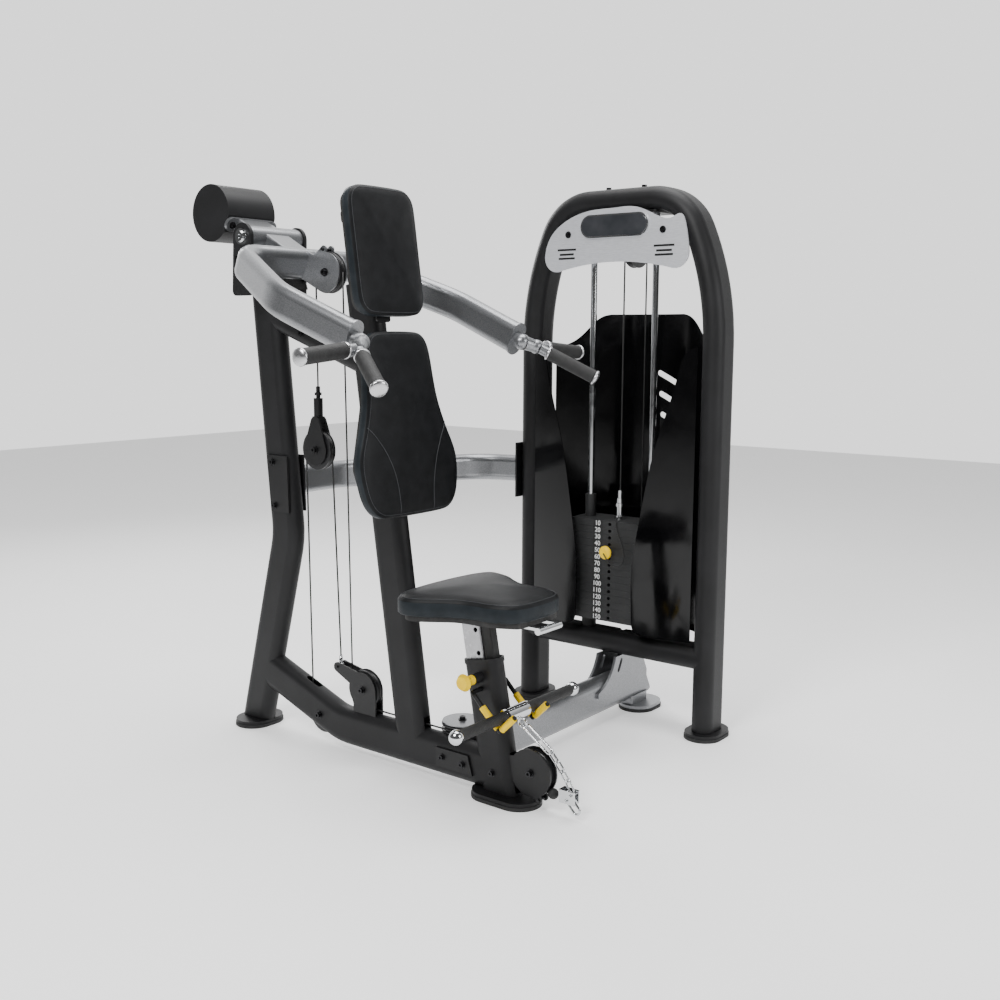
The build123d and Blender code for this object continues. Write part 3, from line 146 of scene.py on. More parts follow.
def noise_bump(material, scale, distance, strength=1.0, stretch=(1, 1, 1)):
    bump(material, node(material, "ShaderNodeTexNoise", Scale=scale, Detail=3), "Fac", distance,
         strength, stretch)


def powder(name, dark, light, rough, gloss):
    """Fine-textured powder coat."""
    material = shader(name, dark, rough, Specular_IOR_Level=gloss)
    vary(material, dark, light, 9)
    noise_bump(material, 1500, 0.0003, 0.5)
    return material


def vinyl(name, dark, light, rough):
    """Upholstery vinyl with a pebbled grain."""
    material = shader(name, dark, rough, Specular_IOR_Level=0.16)
    vary(material, dark, light, 30)
    grain = node(material, "ShaderNodeTexVoronoi", Scale=620, feature="DISTANCE_TO_EDGE")
    bump(material, grain, "Distance", 0.0006, 0.55)
    noise_bump(material, 60, 0.0008, 0.25)
    return material


BLACK = powder("powder_black", (0.0055, 0.0055, 0.006), (0.0095, 0.0095, 0.0105), 0.5, 0.3)
PLATE_BLACK = powder("plate_black", (0.004, 0.004, 0.0045), (0.007, 0.007, 0.0075), 0.4, 0.35)
SILVER = shader("silver_paint", (0.25, 0.255, 0.265), 0.33, 0.85, Coat_Weight=0.2, Coat_Roughness=0.2)
vary(SILVER, (0.2, 0.205, 0.215), (0.31, 0.315, 0.325), 420)
noise_bump(SILVER, 900, 0.0002, 0.25)
ALLOY = shader("grip_cap_alloy", (0.55, 0.55, 0.56), 0.26, 1.0)
vary(ALLOY, 0.2, 0.34, 90, "Roughness")
noise_bump(ALLOY, 600, 0.0001, 0.3)
CHROME = shader("chrome", (0.62, 0.63, 0.64), 0.12, 1.0)
vary(CHROME, 0.06, 0.16, 35, "Roughness")
STEEL = shader("zinc_steel", (0.42, 0.42, 0.43), 0.34, 0.95)
vary(STEEL, 0.26, 0.44, 120, "Roughness")
noise_bump(STEEL, 700, 0.0002, 0.3)
RUBBER = shader("rubber", (0.012, 0.012, 0.012), 0.72)
vary(RUBBER, (0.009, 0.009, 0.009), (0.018, 0.018, 0.018), 40)
noise_bump(RUBBER, 800, 0.0004, 0.6)
GRIP = shader("grip_rubber", (0.01, 0.01, 0.01), 0.6)
vary(GRIP, (0.008, 0.008, 0.008), (0.016, 0.016, 0.016), 60)
bump(GRIP, node(GRIP, "ShaderNodeTexVoronoi", Scale=330), "Distance", 0.0009, 0.7)
VINYL = vinyl("vinyl_black", (0.005, 0.0053, 0.006), (0.009, 0.0095, 0.0105), 0.42)
SIDE_VINYL = vinyl("vinyl_side", (0.011, 0.0145, 0.0175), (0.018, 0.0225, 0.0265), 0.48)
BOARD = shader("board", (0.012, 0.012, 0.012), 0.7)
vary(BOARD, (0.008, 0.008, 0.008), (0.024, 0.023, 0.022), 25, stretch=(1, 8, 1))
noise_bump(BOARD, 300, 0.0004, 0.4)
GLOSS = shader("gloss_plastic", (0.0015, 0.0015, 0.0018), 0.1, Specular_IOR_Level=0.3)
vary(GLOSS, 0.07, 0.16, 12, "Roughness")
noise_bump(GLOSS, 7, 0.002, 0.12)
NYLON = shader("nylon", (0.009, 0.009, 0.01), 0.36)
vary(NYLON, 0.3, 0.46, 60, "Roughness")
noise_bump(NYLON, 500, 0.0002, 0.3)
YELLOW = shader("yellow_plastic", (0.93, 0.62, 0.0), 0.42, Specular_IOR_Level=0.25)
vary(YELLOW, (0.9, 0.58, 0.0), (0.96, 0.66, 0.0), 40)
noise_bump(YELLOW, 350, 0.0002, 0.3)
IRON = powder("plate_iron", (0.017, 0.0175, 0.018), (0.028, 0.0285, 0.029), 0.5, 0.35)
BOLT = shader("black_bolt", (0.035, 0.035, 0.037), 0.3, 0.9)
vary(BOLT, 0.22, 0.4, 90, "Roughness")
LABEL = shader("label_black", (0.004, 0.004, 0.004), 0.42)
vary(LABEL, 0.36, 0.5, 90, "Roughness")
PRINT = shader("print_white", (0.75, 0.76, 0.76), 0.55)
vary(PRINT, (0.68, 0.69, 0.69), (0.78, 0.79, 0.79), 200)
PANEL = shader("panel_metal", (0.62, 0.63, 0.66), 0.4, 0.4)
vary(PANEL, (0.56, 0.57, 0.6), (0.68, 0.69, 0.72), 60, stretch=(1, 1, 14))
BADGE = shader("badge", (0.028, 0.03, 0.034), 0.25, Coat_Weight=0.4)
vary(BADGE, (0.022, 0.024, 0.028), (0.04, 0.042, 0.047), 14)
CABLE = shader("cable_jacket", (0.012, 0.012, 0.012), 0.42)
bump(CABLE, node(CABLE, "ShaderNodeTexWave", Scale=130), "Fac", 0.0003, 0.4)
STITCH = shader("stitch_thread", (0.03, 0.032, 0.036), 0.7)
vary(STITCH, (0.02, 0.022, 0.025), (0.045, 0.048, 0.053), 500)

FINISH = {
    BLACK: ["rear_upright", "base_tube", "back_post", "cross_member", "pivot_bracket", "seat_column",
            "tower_arch", "tower_rail", "counterweight", "foot_plates"],
    PLATE_BLACK: ["frame_brackets", "bar_hooks", "floating_housing"],
    SILVER: ["mid_link_tube", "link_beam", "link_beam_plates", "pivot_tube", "press_arm_tube",
             "arm_handles", "arm_brackets"],
    CHROME: ["guide_rods", "grip_caps", "selector_rod", "pull_chain", "bar_swivel", "low_bar",
             "seat_handle", "pivot_shaft"],
    STEEL: ["seat_post"],
    BOLT: ["frame_bolts", "arm_bolts"],
    RUBBER: ["foot_soles", "rubber_stops", "ball_stop"],
    GLOSS: ["shrouds"],
    NYLON: ["arm_pulley", "spine_pulley", "corner_pulley", "tower_pulley", "top_pulley",
            "floating_pulley", "rear_low_pulley", "front_low_pulley"],
    YELLOW: ["hook_sleeves", "seat_pin"],
    IRON: ["lower_plates", "selected_plates"],
    CABLE: ["arm_cable_wrap"],
    BOARD: ["pad_boards", "seat_board"],
}
for material, names in FINISH.items():
    for name in names:
        mesh = NODES[name].data
        mesh.materials.clear()
        mesh.materials.append(material)


# ---------------------------------------------------------------- mesh helpers
def piece(name, verts, faces, material, body, smooth=True):
    mesh = bpy.data.meshes.new(name)
    mesh.from_pydata([tuple(v) for v in verts], [], faces)
    mesh.materials.append(material)
    mesh.validate()
    shape = bmesh.new()
    shape.from_mesh(mesh)
    bmesh.ops.recalc_face_normals(shape, faces=shape.faces)
    shape.to_mesh(mesh)
    shape.free()
    for face in mesh.polygons:
        face.use_smooth = smooth
    made = bpy.data.objects.new(name, mesh)
    bpy.context.scene.collection.objects.link(made)
    if body:
        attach(made, body)
    return made


def across(direction):
    """Two unit directions square to a direction."""
    direction = Vector(direction).normalized()
    guide = Vector((0, 0, 1)) if abs(direction.z) < 0.9 else Vector((1, 0, 0))
    one = direction.cross(guide).normalized()
    return one, direction.cross(one).normalized()


def tube(name, points, radius, material, body, sides=12, closed=False):
    """Round tube through points, ended flat unless it is closed on itself."""
    verts, faces = [], []
    count = len(points)
    one = None
    for i, point in enumerate(points):
        ahead = points[(i + 1) % count] if closed or i < count - 1 else point
        behind = points[i - 1] if closed or i else point
        along = (Vector(ahead) - Vector(behind)).normalized()
        if one is None:
            one = across(along)[0]
        one = (one - along * one.dot(along)).normalized()
        two = along.cross(one)
        for k in range(sides):
            turn = 2 * pi * k / sides
            verts.append(Vector(point) + (one * cos(turn) + two * sin(turn)) * radius)
    for i in range(count if closed else count - 1):
        j = (i + 1) % count
        for k in range(sides):
            m = (k + 1) % sides
            faces.append((i * sides + k, i * sides + m, j * sides + m, j * sides + k))
    if not closed:
        faces.append(tuple(range(sides)))
        faces.append(tuple((count - 1) * sides + k for k in range(sides)))
    return piece(name, verts, faces, material, body)


def turned(name, start, end, profile, material, body, sides=40):
    """Turned piece between two points. The profile is (share of the length, radius in metres)."""
    start, end = Vector(start), Vector(end)
    one, two = across(end - start)
    verts, faces = [], []
    for share, radius in profile:
        for k in range(sides):
            turn = 2 * pi * k / sides
            verts.append(start.lerp(end, share) + (one * cos(turn) + two * sin(turn)) * radius)
    for i in range(len(profile) - 1):
        for k in range(sides):
            m = (k + 1) % sides
            faces.append((i * sides + k, i * sides + m, (i + 1) * sides + m, (i + 1) * sides + k))
    faces.append(tuple(range(sides)))
    faces.append(tuple((len(profile) - 1) * sides + k for k in range(sides)))
    return piece(name, verts, faces, material, body)


def straight(start, end, steps):
    return [Vector(start).lerp(Vector(end), i / steps) for i in range(steps + 1)]


def arc(centre, radius, first, second, low, high, steps=24):
    """Points on part of a circle; angles in degrees from the first direction to the second."""
    points = []
    for i in range(steps + 1):
        turn = radians(low + (high - low) * i / steps)
        points.append(Vector(centre) + (Vector(first) * cos(turn) + Vector(second) * sin(turn)) * radius)
    return points


# ---------------------------------------------------------------- upholstery
def smooth_outline(points, count):
    """Closed Catmull-Rom curve through points, sampled evenly."""
    dense = []
    total = len(points)
    for i in range(total):
        p0, p1, p2, p3 = (Vector(points[(i + k) % total]) for k in (-1, 0, 1, 2))
        for step in range(24):
            t = step / 24
            dense.append(0.5 * ((2 * p1) + (p2 - p0) * t + (2 * p0 - 5 * p1 + 4 * p2 - p3) * t * t
                                + (3 * p1 - p0 - 3 * p2 + p3) * t * t * t))
    lengths = [0.0]
    for i in range(len(dense)):
        lengths.append(lengths[-1] + (dense[(i + 1) % len(dense)] - dense[i]).length)
    even, k = [], 0
    for i in range(count):
        want = lengths[-1] * i / count
        while lengths[k + 1] < want:
            k += 1
        share = (want - lengths[k]) / (lengths[k + 1] - lengths[k])
        even.append(dense[k].lerp(dense[(k + 1) % len(dense)], share))
    return even


def inset(ring, amount):
    """Moves each point of a closed flat ring inwards along its own normal, then relaxes it."""
    count = len(ring)
    moved = []
    for i in range(count):
        along = (ring[(i + 1) % count] - ring[i - 1]).normalized()
        moved.append(ring[i] + Vector((-along.y, along.x)) * amount)
    for _ in range(3):
        moved = [(moved[i - 1] + moved[i] * 2 + moved[(i + 1) % count]) / 4 for i in range(count)]
    return moved


# How far in from the outline and how far up the edge of a pad curves, then the share of the height
# that the curve takes and the number of rings across the dome.
EDGE = ((0.001, 0.0022), (0.004, 0.0072), (0.009, 0.0118), (0.016, 0.0156), (0.025, 0.0192))
EDGE_SHARE, DOME_RINGS = 0.72, 9


def cushion(name, outline, place, depth, crown, body, cad_node, side_depth):
    """Crowned pad: a side band, a sewn edge and a domed face, closed at its back.

    outline is flat and goes anticlockwise, place turns (u, v, height) into a point in the row frame.
    """
    rings = []
    for drop, height in ((0.004, 0), (0, 0.004), (0, side_depth * 0.5), (0, side_depth)):
        rings.append((inset(outline, drop), height))
    face_start = len(rings) - 1
    top = depth - side_depth
    for step, rise in EDGE:
        rings.append((inset(outline, step), side_depth + top * rise / EDGE[-1][1] * EDGE_SHARE))
    ring = inset(outline, EDGE[-1][0])
    centre = sum(outline, Vector((0, 0))) / len(outline)
    for i in range(1, DOME_RINGS + 1):
        share = i / (DOME_RINGS + 0.4)
        swell = sin(share * pi / 2)
        height = side_depth + top * (EDGE_SHARE + (1 - EDGE_SHARE) * swell) + crown * swell
        rings.append(([p.lerp(centre, share) for p in ring], height))
    verts, faces = [], []
    count = len(outline)
    for flat, height in rings:
        verts += [place(p.x, p.y, height) for p in flat]
    for i in range(len(rings) - 1):
        for k in range(count):
            m = (k + 1) % count
            faces.append((i * count + k, i * count + m, (i + 1) * count + m, (i + 1) * count + k))
    last = rings[-1]
    verts.append(place(centre.x, centre.y, last[1]))
    tip = len(verts) - 1
    for k in range(count):
        faces.append(((len(rings) - 1) * count + k, (len(rings) - 1) * count + (k + 1) % count, tip))
    faces.append(tuple(range(count)))
    made = piece(name, verts, faces, VINYL, body)
    made.data.materials.append(SIDE_VINYL)
    for index, face in enumerate(made.data.polygons):
        if index < face_start * count or index == len(faces) - 1:
            face.material_index = 1
    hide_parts(cad_node)
    return made


def seam(name, line, pad, place, body, closed=False, radius=0.0011, material=None, lift=0.0004):
    """Sewn line lying on a pad's face, dropped onto it from in front."""
    tree = BVHTree.FromObject(pad, bpy.context.evaluated_depsgraph_get())
    points = []
    for u, v in line:
        start, back = place(u, v, 0.2), place(u, v, 0) - place(u, v, 0.2)
        hit = tree.ray_cast(start, back.normalized())[0]
        if hit is not None:
            points.append(hit - back.normalized() * lift)
    made = tube(name, points, radius, material or STITCH, body, 6, closed)
    return made


POST_LEAN = radians(8.12)
POST_UP = Vector((-sin(POST_LEAN), 0, cos(POST_LEAN)))
POST_OUT = Vector((cos(POST_LEAN), 0, sin(POST_LEAN)))
POST_FOOT = at(654, 0, 80)
PAD_BACK, PAD_DEPTH = 0.072, 0.041


def on_post(height):
    """Places (across, up, out) on the back post's pad plane at a height in millimetres."""
    centre = POST_FOOT + POST_UP * ((height / 1000 - POST_FOOT.z) / POST_UP.z)
    return lambda u, v, w: centre + Vector((0, u, 0)) + POST_UP * v + POST_OUT * (PAD_BACK + w)


def both_halves(side):
    """A closed anticlockwise outline from its right half, listed from top to bottom."""
    right = [Vector(p) / 1000 for p in side]
    left = [Vector((-p.x, p.y)) for p in right if p.x > 0.0005]
    return left + right[::-1]


HEAD_SIDE = [(70, 169), (104, 160), (121, 138), (125, 100), (125, 0), (125, -100), (121, -138),
             (104, -160), (70, -169)]
head_ring = smooth_outline(both_halves(HEAD_SIDE), 160)
head_at = on_post(1401)
head = cushion("head_pad_cover", head_ring, head_at, PAD_DEPTH, 0.004, "frame", "head_pad", 0.026)

BACK_SIDE = [(60, 244), (98, 236), (117, 212), (125, 170), (129, 120), (137, 60), (158, -10),
             (182, -70), (189, -110), (184, -160), (170, -205), (140, -235), (90, -244)]
back_ring = smooth_outline(both_halves(BACK_SIDE), 220)
back_at = on_post(949)
back = cushion("back_pad_cover", back_ring, back_at, PAD_DEPTH, 0.004, "frame", "back_pad", 0.026)
for sign in (-1, 1):
    curve = [(sign * (0.066 + 0.086 * (1 - i / 48) ** 2.4), -0.004 - 0.23 * i / 48) for i in range(49)]
    seam(f"back_seam_{'left' if sign < 0 else 'right'}", curve, back, back_at, "frame")

SEAT_HALF = [(1083, 0), (1080, 55), (1066, 93), (1038, 112), (1003, 122), (963, 124), (923, 132), (886, 152),
             (848, 178), (813, 193), (783, 194), (756, 176), (738, 128), (730, 60)]
SEAT_OUTLINE = SEAT_HALF + [(728, 0)] + [(x, -y) for x, y in SEAT_HALF[:0:-1]]
seat_ring = smooth_outline([at(x, y, 0).to_2d() for x, y in SEAT_OUTLINE], 220)
SEAT_LOW, SEAT_DEPTH = 0.5, 0.062


def seat_at(u, v, w):
    return Vector((u, v, SEAT_LOW + w))


seat = cushion("seat_cover", seat_ring, seat_at, SEAT_DEPTH - 0.004, 0.004, "seat", "seat_pad", 0.036)
for name, ring, pad, place, body in (("head", head_ring, head, head_at, "frame"),
                                     ("back", back_ring, back, back_at, "frame"),
                                     ("seat", seat_ring, seat, seat_at, "seat")):
    line = inset(ring, 0.0075)
    seam(f"{name}_edge_stitch", [(p.x, p.y) for p in line], pad, place, body, True, 0.0007)


# ---------------------------------------------------------------- grips
def ribbed(name, start, end, radius, rib, pitch, material, body, cad):
    """Rubber grip with fine ribs round it."""
    length = (Vector(end) - Vector(start)).length
    ribs = int(length / pitch)
    profile = [(0, radius - rib * 3), (0.008, radius - rib)]
    for i in range(ribs):
        base = 0.012 + 0.976 * i / ribs
        step = 0.976 / ribs
        profile += [(base, radius - rib), (base + step * 0.25, radius), (base + step * 0.65, radius),
                    (base + step * 0.9, radius - rib)]
    profile += [(0.992, radius - rib), (1, radius - rib * 3)]
    made = turned(name, start, end, profile, material, body)
    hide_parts(cad)
    return made


HUB, FRONT_TIP, SIDE_TIP = (800, 350, 1165), (951, 435, 1076), (813, 549, 1147)
for side in (-1, 1):
    hub = at(HUB[0], side * HUB[1], HUB[2])
    for label, tip in (("front", FRONT_TIP), ("side", SIDE_TIP)):
        tip = at(tip[0], side * tip[1], tip[2])
        out = (tip - hub).normalized()
        place = f"{label}_{'left' if side > 0 else 'right'}"
        start, end = tip - out * 0.152, tip - out * 0.012
        ribbed(f"handle_grip_{place}", start, end, 0.019, 0.0006, 0.0045, GRIP, "arm", "handle_grips")
        dome = [(0, 0.0195), (0.1, 0.0212), (0.35, 0.0214), (0.6, 0.02), (0.8, 0.016), (0.93, 0.010),
                (1, 0.003)]
        cap = turned(f"grip_cap_{place}", end, tip, dome, ALLOY, "arm")
        collar = turned(f"grip_collar_{place}", start - out * 0.007, start,
                        [(0, 0.0175), (0.15, 0.02), (0.85, 0.02), (1, 0.0185)], ALLOY, "arm")
        for made in (cap, collar):
            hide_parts("grip_caps")

BAR = (1000, 10, 240)
for label, start, end in (("right", -43, -225), ("left", 43, 245)):
    ribbed(f"bar_grip_{label}", at(BAR[0], start, BAR[2]), at(BAR[0], end, BAR[2]), 0.0145, 0.0007, 0.005,
           GRIP, "bar", "bar_grips")

# ---------------------------------------------------------------- weight stack
TOWER_X, TOWER_Y = 832, 756
STACK_BOTTOM, PITCH, PLATES, SELECTED = 313, 21.2, 15, 5
STACK_TOP = STACK_BOTTOM + PLATES * PITCH - 0.4
STACK_FRONT = TOWER_Y - 58


def plate_middle(index):
    """Height of the middle of one plate, counted from the top."""
    return STACK_BOTTOM + (PLATES - 1 - index) * PITCH + (PITCH - 0.4) / 2


def slab(name, low, high, material, body, bevel=0.0006):
    """Thin block between two points in millimetres, with softened edges."""
    a, b = at(*low), at(*high)
    verts = [Vector((x, y, z)) for x in (a.x, b.x) for y in (a.y, b.y) for z in (a.z, b.z)]
    faces = [(0, 1, 3, 2), (4, 6, 7, 5), (0, 4, 5, 1), (2, 3, 7, 6), (0, 2, 6, 4), (1, 5, 7, 3)]
    made = piece(name, verts, faces, material, None, False)
    shape = bmesh.new()
    shape.from_mesh(made.data)
    bmesh.ops.bevel(shape, geom=shape.edges[:], offset=bevel, segments=2, affect="EDGES")
    shape.to_mesh(made.data)
    shape.free()
    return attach(made, body)


def words(name, text, centre, size, material, body):
    """Raised print, facing the front of the tower."""
    curve = bpy.data.curves.new(name, "FONT")
    curve.body = text
    curve.size = size
    curve.align_x = "CENTER"
    curve.align_y = "CENTER"
    curve.extrude = 0.0002
    curve.offset = 0.0003
    made = bpy.data.objects.new(name, curve)
    bpy.context.scene.collection.objects.link(made)
    made.matrix_world = Matrix.Translation(centre) @ Matrix.Rotation(pi / 2, 4, "X")
    bpy.context.view_layer.update()
    mesh = bpy.data.meshes.new_from_object(made)
    mesh.transform(made.matrix_world)
    mesh.materials.clear()
    mesh.materials.append(material)
    solid = bpy.data.objects.new(name, mesh)
    bpy.context.scene.collection.objects.link(solid)
    bpy.data.objects.remove(made)
    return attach(solid, body)


STRIP_X = (TOWER_X - 61, TOWER_X - 26)
for index in range(PLATES):
    body = "stack" if index < SELECTED else "frame"
    middle = plate_middle(index)
    strip = slab(f"number_strip_{index + 1}", (STRIP_X[0], STACK_FRONT - 0.5, middle - 9.4),
                 (STRIP_X[1], STACK_FRONT + 0.1, middle + 9.4), LABEL, body, 0.0002)
    words(f"number_{index + 1}", str((index + 1) * 10),
          at(sum(STRIP_X) / 2, STACK_FRONT - 0.6, middle), 0.0205, PRINT, body)

# ---------------------------------------------------------------- selector knob
pin_z = plate_middle(SELECTED - 1)
knob_back = STACK_FRONT - 10
pin = turned("selector_pin_rod", at(TOWER_X, TOWER_Y + 12, pin_z), at(TOWER_X, knob_back, pin_z),
             [(0, 0.0035), (0.03, 0.005), (1, 0.005)], CHROME, "selector", 20)
knob = turned("selector_pin_knob", at(TOWER_X, knob_back, pin_z), at(TOWER_X, knob_back - 24, pin_z),
              [(0, 0.012), (0.1, 0.0135), (0.35, 0.019), (0.5, 0.021), (0.68, 0.0205), (0.88, 0.0165),
               (1, 0.01)], YELLOW, "selector")
for made in (pin, knob):
    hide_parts("selector_pin")

# ---------------------------------------------------------------- placard
BADGE_Z = 1520
PLACARD_FRONT = 693


def flat_shape(name, outline, y, thick, material, body):
    """Flat plate from (distance from the tower's middle, height) points, facing the front."""
    front = [at(TOWER_X + d, y - thick, z) for d, z in outline]
    rear = [at(TOWER_X + d, y, z) for d, z in outline]
    count = len(outline)
    faces = [tuple(range(count)), tuple(range(2 * count - 1, count - 1, -1))]
    faces += [(k, k + count, (k + 1) % count + count, (k + 1) % count) for k in range(count)]
    return piece(name, front + rear, faces, material, body, False)


def obround(length, height, z, count=24):
    """Outline of a slot on the tower's middle, as distance and height."""
    half, radius = (length - height) / 2, height / 2
    turns = [pi * k / count for k in range(count + 1)]
    points = [(half + radius * sin(turn), z + radius * cos(turn)) for turn in turns]
    return points + [(-d, 2 * z - h) for d, h in points]


flat_shape("badge_rim", obround(236, 68, BADGE_Z), 690, 1.2, CHROME, "frame")
flat_shape("badge_face", obround(226, 58, BADGE_Z), 688.9, 0.9, BADGE, "frame")
for label, side in (("left", 1), ("right", -1)):
    rows = ((0, 34), (-14, 26), (-26, 30))
    for row, (drop, width) in enumerate(rows):
        low = (TOWER_X + side * 170 - width, PLACARD_FRONT - 0.5, 1452 + drop)
        high = (TOWER_X + side * 170 + width, PLACARD_FRONT + 0.1, 1458 + drop)
        slab(f"panel_line_{label}_{row}", low, high, LABEL, "frame", 0.0002)
panel = NODES["placard"].data
panel.materials.clear()
panel.materials.append(PANEL)

# ---------------------------------------------------------------- cables
CABLE_R, THIN_R = 0.0025, 0.00235
WRAP, TOP_WRAP = 53, 64.5
TOP_Z, TOWER_PULLEY_Y, LOW_Z = 1470, 832, 143
ARM_PULLEY, SPINE_X, SPINE_Z = (343, 0, 1366), 465, 196
BOLT_TOP = STACK_TOP + 90
X, Y, Z = Vector((1, 0, 0)), Vector((0, 1, 0)), Vector((0, 0, 1))


def cable_piece(name, points, body=None, radius=CABLE_R, cad="main_cable"):
    made = tube(name, points, radius, CABLE, body, 12)
    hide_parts(cad)
    return made


stack_run = cable_piece("stack_cable",
                        straight(at(TOWER_X, TOWER_Y, BOLT_TOP), at(TOWER_X, TOWER_Y, TOP_Z), 60), "frame")
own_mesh(stack_run)
top_centre = at(TOWER_X, TOWER_Y + TOP_WRAP, TOP_Z)
tower_centre = at(TOWER_X, TOWER_PULLEY_Y, SPINE_Z)
corner_centre = at(779, WRAP, LOW_Z)
spine_centre = at(SPINE_X, 0, SPINE_Z)
frame_cable = arc(top_centre, TOP_WRAP / 1000, -Y, Z, 0, 180)
frame_cable += arc(tower_centre, WRAP / 1000, Y, -Z, 0, 90)
frame_cable += arc(corner_centre, WRAP / 1000, X, -Y, 0, 90)
frame_cable += arc(spine_centre, WRAP / 1000, -Z, -X, 0, 90)
cable_piece("frame_cable", frame_cable, "frame")

arm_centre = at(*ARM_PULLEY)
wrap_front, wrap_rear = arm_centre + X * (WRAP / 1000), arm_centre - X * (WRAP / 1000)
spine_side = at(SPINE_X - WRAP, 0, SPINE_Z)
LAP = 0.24
split = spine_side.lerp(wrap_front, 1 - LAP)
cable_piece("front_run_upper", straight(split, wrap_front, 4), "cable_wrap")
cable_piece("front_run_lower", straight(spine_side, wrap_front.lerp(spine_side, 0.01), 4), "frame", THIN_R)
carriage_top = at(290, 0, 1050)
rear_split = at(290, 0, 1150)
cable_piece("rear_run_upper", straight(rear_split, wrap_rear, 4), "cable_wrap")
rear_lower = cable_piece("rear_run_lower", straight(carriage_top, wrap_rear.lerp(rear_split, 0.03), 40), None,
                         THIN_R)
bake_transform(rear_lower)

FLOATING, REAR_LOW, FRONT_LOW = (290, 0, 870), (300, 0, 92), (1059, 0, 96)
anchor_run = cable_piece("anchor_run", straight(at(366, 0, 276), at(343, 0, 870), 60), None, CABLE_R,
                         "low_cable")
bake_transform(anchor_run)
over = arc(at(*FLOATING), WRAP / 1000, X, Z, 0, 180)
cable_piece("floating_wrap", over, "carriage", CABLE_R, "low_cable")
rear_run = cable_piece("rear_low_run", straight(at(237, 0, 870), at(247, 0, 92), 60), None, CABLE_R,
                       "low_cable")
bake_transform(rear_run)
low_run = arc(at(*REAR_LOW), WRAP / 1000, -X, -Z, 0, 90)
low_run += arc(at(*FRONT_LOW), WRAP / 1000, -Z, X, 0, 13.6, 6)
cable_piece("base_cable", low_run, "frame", CABLE_R, "low_cable")
ball_end = at(1106, 0, 53)
pull_run = cable_piece("ball_run", straight(low_run[-1], ball_end, 24), None, CABLE_R, "low_cable")
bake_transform(pull_run)
anchor = turned("cable_anchor", at(366, 0, 252), at(366, 0, 278),
                [(0, 0.0045), (0.1, 0.0062), (0.55, 0.0062), (0.62, 0.0048), (1, 0.0042)], CHROME, "frame")
fork = turned("anchor_fork", at(366, -9, 246), at(366, 9, 246),
              [(0, 0.009), (0.08, 0.0115), (0.92, 0.0115), (1, 0.009)], CHROME, "frame")
for made in (anchor, fork):
    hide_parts("low_cable")

# ---------------------------------------------------------------- lanyard
ROUTE = [(TOWER_X + 16, TOWER_Y - 11, STACK_TOP + 6), (TOWER_X + 20, TOWER_Y - 34, STACK_TOP + 10),
         (TOWER_X + 24, STACK_FRONT + 2, STACK_TOP + 12), (TOWER_X + 28, STACK_FRONT - 12, STACK_TOP + 3),
         (TOWER_X + 36, STACK_FRONT - 13, STACK_TOP - 30), (TOWER_X + 58, STACK_FRONT - 13, STACK_TOP - 78),
         (TOWER_X + 63, STACK_FRONT - 14, STACK_TOP - 116), (TOWER_X + 46, STACK_FRONT - 22, STACK_TOP - 138),
         (TOWER_X + 24, STACK_FRONT - 38, STACK_TOP - 126), (TOWER_X + 8, STACK_FRONT - 40, pin_z - 6),
         (TOWER_X + 2, STACK_FRONT - 37, pin_z - 1)]
LANYARD_R, LANYARD_LENGTH = 0.002, 0.272
cord = bpy.data.curves.new("lanyard_cord", "CURVE")
cord.dimensions = "3D"
cord.resolution_u = 12
spline = cord.splines.new("NURBS")
spline.points.add(len(ROUTE) - 1)
for control, point in zip(spline.points, ROUTE):
    control.co = (*at(*point), 1)
spline.order_u = 3
spline.use_endpoint_u = True
line_only = bpy.data.objects.new("lanyard_line", cord)
bpy.context.scene.collection.objects.link(line_only)
bpy.context.view_layer.update()
cord_path = [v.co.copy() for v in bpy.data.meshes.new_from_object(line_only).vertices]
bpy.data.objects.remove(line_only)
lanyard = tube("lanyard_tube", cord_path, LANYARD_R, RUBBER, None, 10)
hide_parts("lanyard")
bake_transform(lanyard)

# ---------------------------------------------------------------- floor, light and camera
FLOOR = shader("floor", (0.86, 0.86, 0.86), 0.75, Emission_Color=(1, 1, 1, 1), Emission_Strength=0.4)
vary(FLOOR, (0.85, 0.85, 0.85), (0.87, 0.87, 0.87), 2)
floor = piece("floor", [(-9, -9, 0), (9, -9, 0), (9, 9, 0), (-9, 9, 0)], [(0, 1, 2, 3)], FLOOR, None, False)

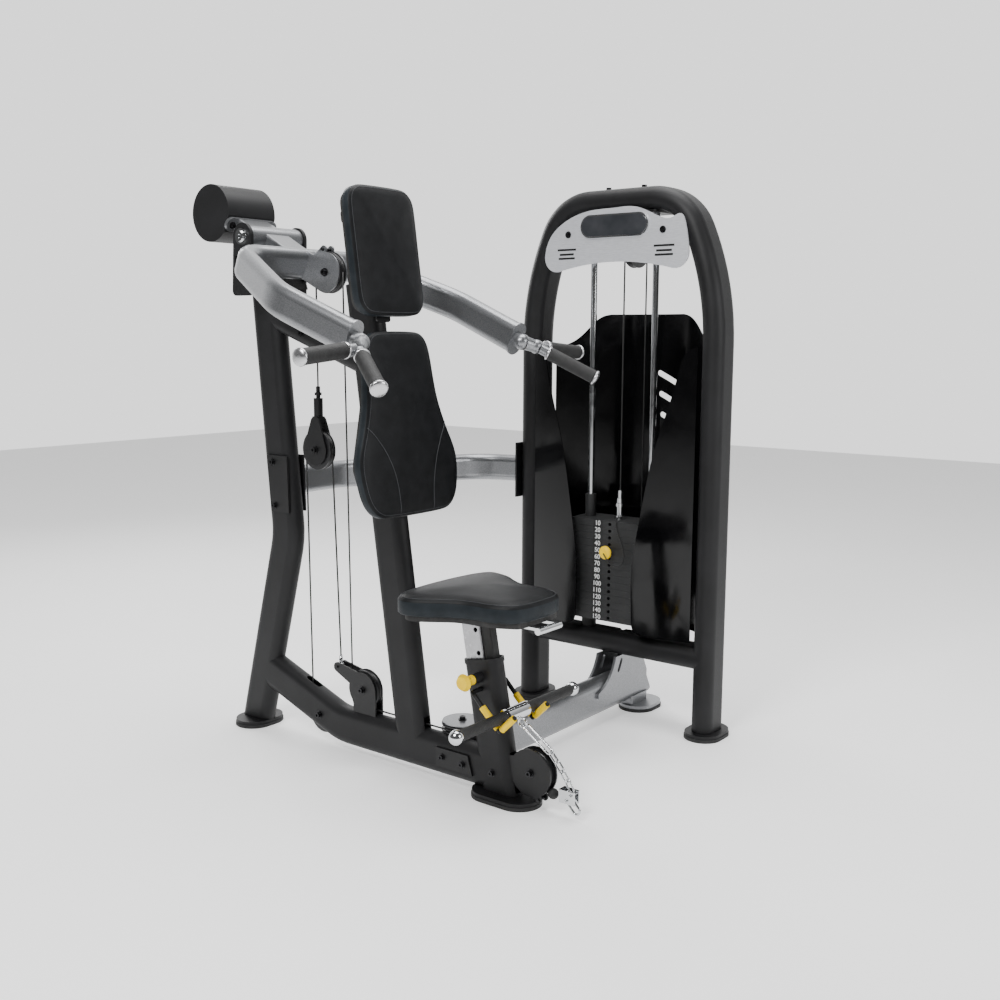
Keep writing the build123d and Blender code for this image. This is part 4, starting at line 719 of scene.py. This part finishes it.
world = bpy.data.worlds.new("studio")
bpy.context.scene.world = world
world.use_nodes = True
WORLD_AHEAD, WORLD_BEHIND = 1.6, 0.12
sky = world.node_tree.nodes["Background"]
sky.inputs["Color"].default_value = (1, 1, 1, 1)
direction = node(world, "ShaderNodeTexCoord")
facing = node(world, "ShaderNodeVectorMath", operation="DOT_PRODUCT")
facing.inputs[1].default_value = (-0.61, 0.79, 0)
fade = node(world, "ShaderNodeMapRange")
fade.inputs["From Min"].default_value = 0.1
fade.inputs["From Max"].default_value = 0.65
fade.inputs["To Min"].default_value = WORLD_BEHIND
fade.inputs["To Max"].default_value = WORLD_AHEAD
join(world, direction, "Generated", facing, 0)
join(world, facing, "Value", fade, "Value")
join(world, fade, "Result", sky, "Strength")


def area_light(name, place, target, size, power):
    lamp = bpy.data.lights.new(name, "AREA")
    lamp.size = size
    lamp.energy = power
    made = bpy.data.objects.new(name, lamp)
    made.location = place
    made.rotation_euler = (Vector(target) - Vector(place)).to_track_quat("-Z", "Y").to_euler()
    bpy.context.scene.collection.objects.link(made)


AIM = (0, 0, 0.8)
area_light("key_light", (0.6, -3.2, 3.6), AIM, 1.4, 150)
area_light("top_light", (0.2, 0.4, 4.2), AIM, 2.6, 150)
area_light("fill_light", (4.0, 0.4, 2.0), AIM, 1.6, 60)
area_light("rim_light", (-3.2, 1.2, 2.6), AIM, 1.4, 55)

CAMERA_AT = Vector((2.7, -2.254, 1.2)) + SHIFT
CAMERA_RIGHT = Vector((0.7888, 0.6145, 0.0045))
CAMERA_UP = Vector((-0.0919, 0.1106, 0.9896))
CAMERA_AHEAD = Vector((-0.6077, 0.7811, -0.1438))
FOCAL_PIXELS, FRAME_PIXELS, SENSOR = 1144, 1000, 36
view = bpy.data.cameras.new("camera")
view.sensor_width = SENSOR
view.lens = FOCAL_PIXELS / FRAME_PIXELS * SENSOR
camera = bpy.data.objects.new("camera", view)
camera.matrix_world = Matrix((
    (CAMERA_RIGHT.x, CAMERA_UP.x, -CAMERA_AHEAD.x, CAMERA_AT.x),
    (CAMERA_RIGHT.y, CAMERA_UP.y, -CAMERA_AHEAD.y, CAMERA_AT.y),
    (CAMERA_RIGHT.z, CAMERA_UP.z, -CAMERA_AHEAD.z, CAMERA_AT.z),
    (0, 0, 0, 1)))
bpy.context.scene.collection.objects.link(camera)
bpy.context.scene.camera = camera
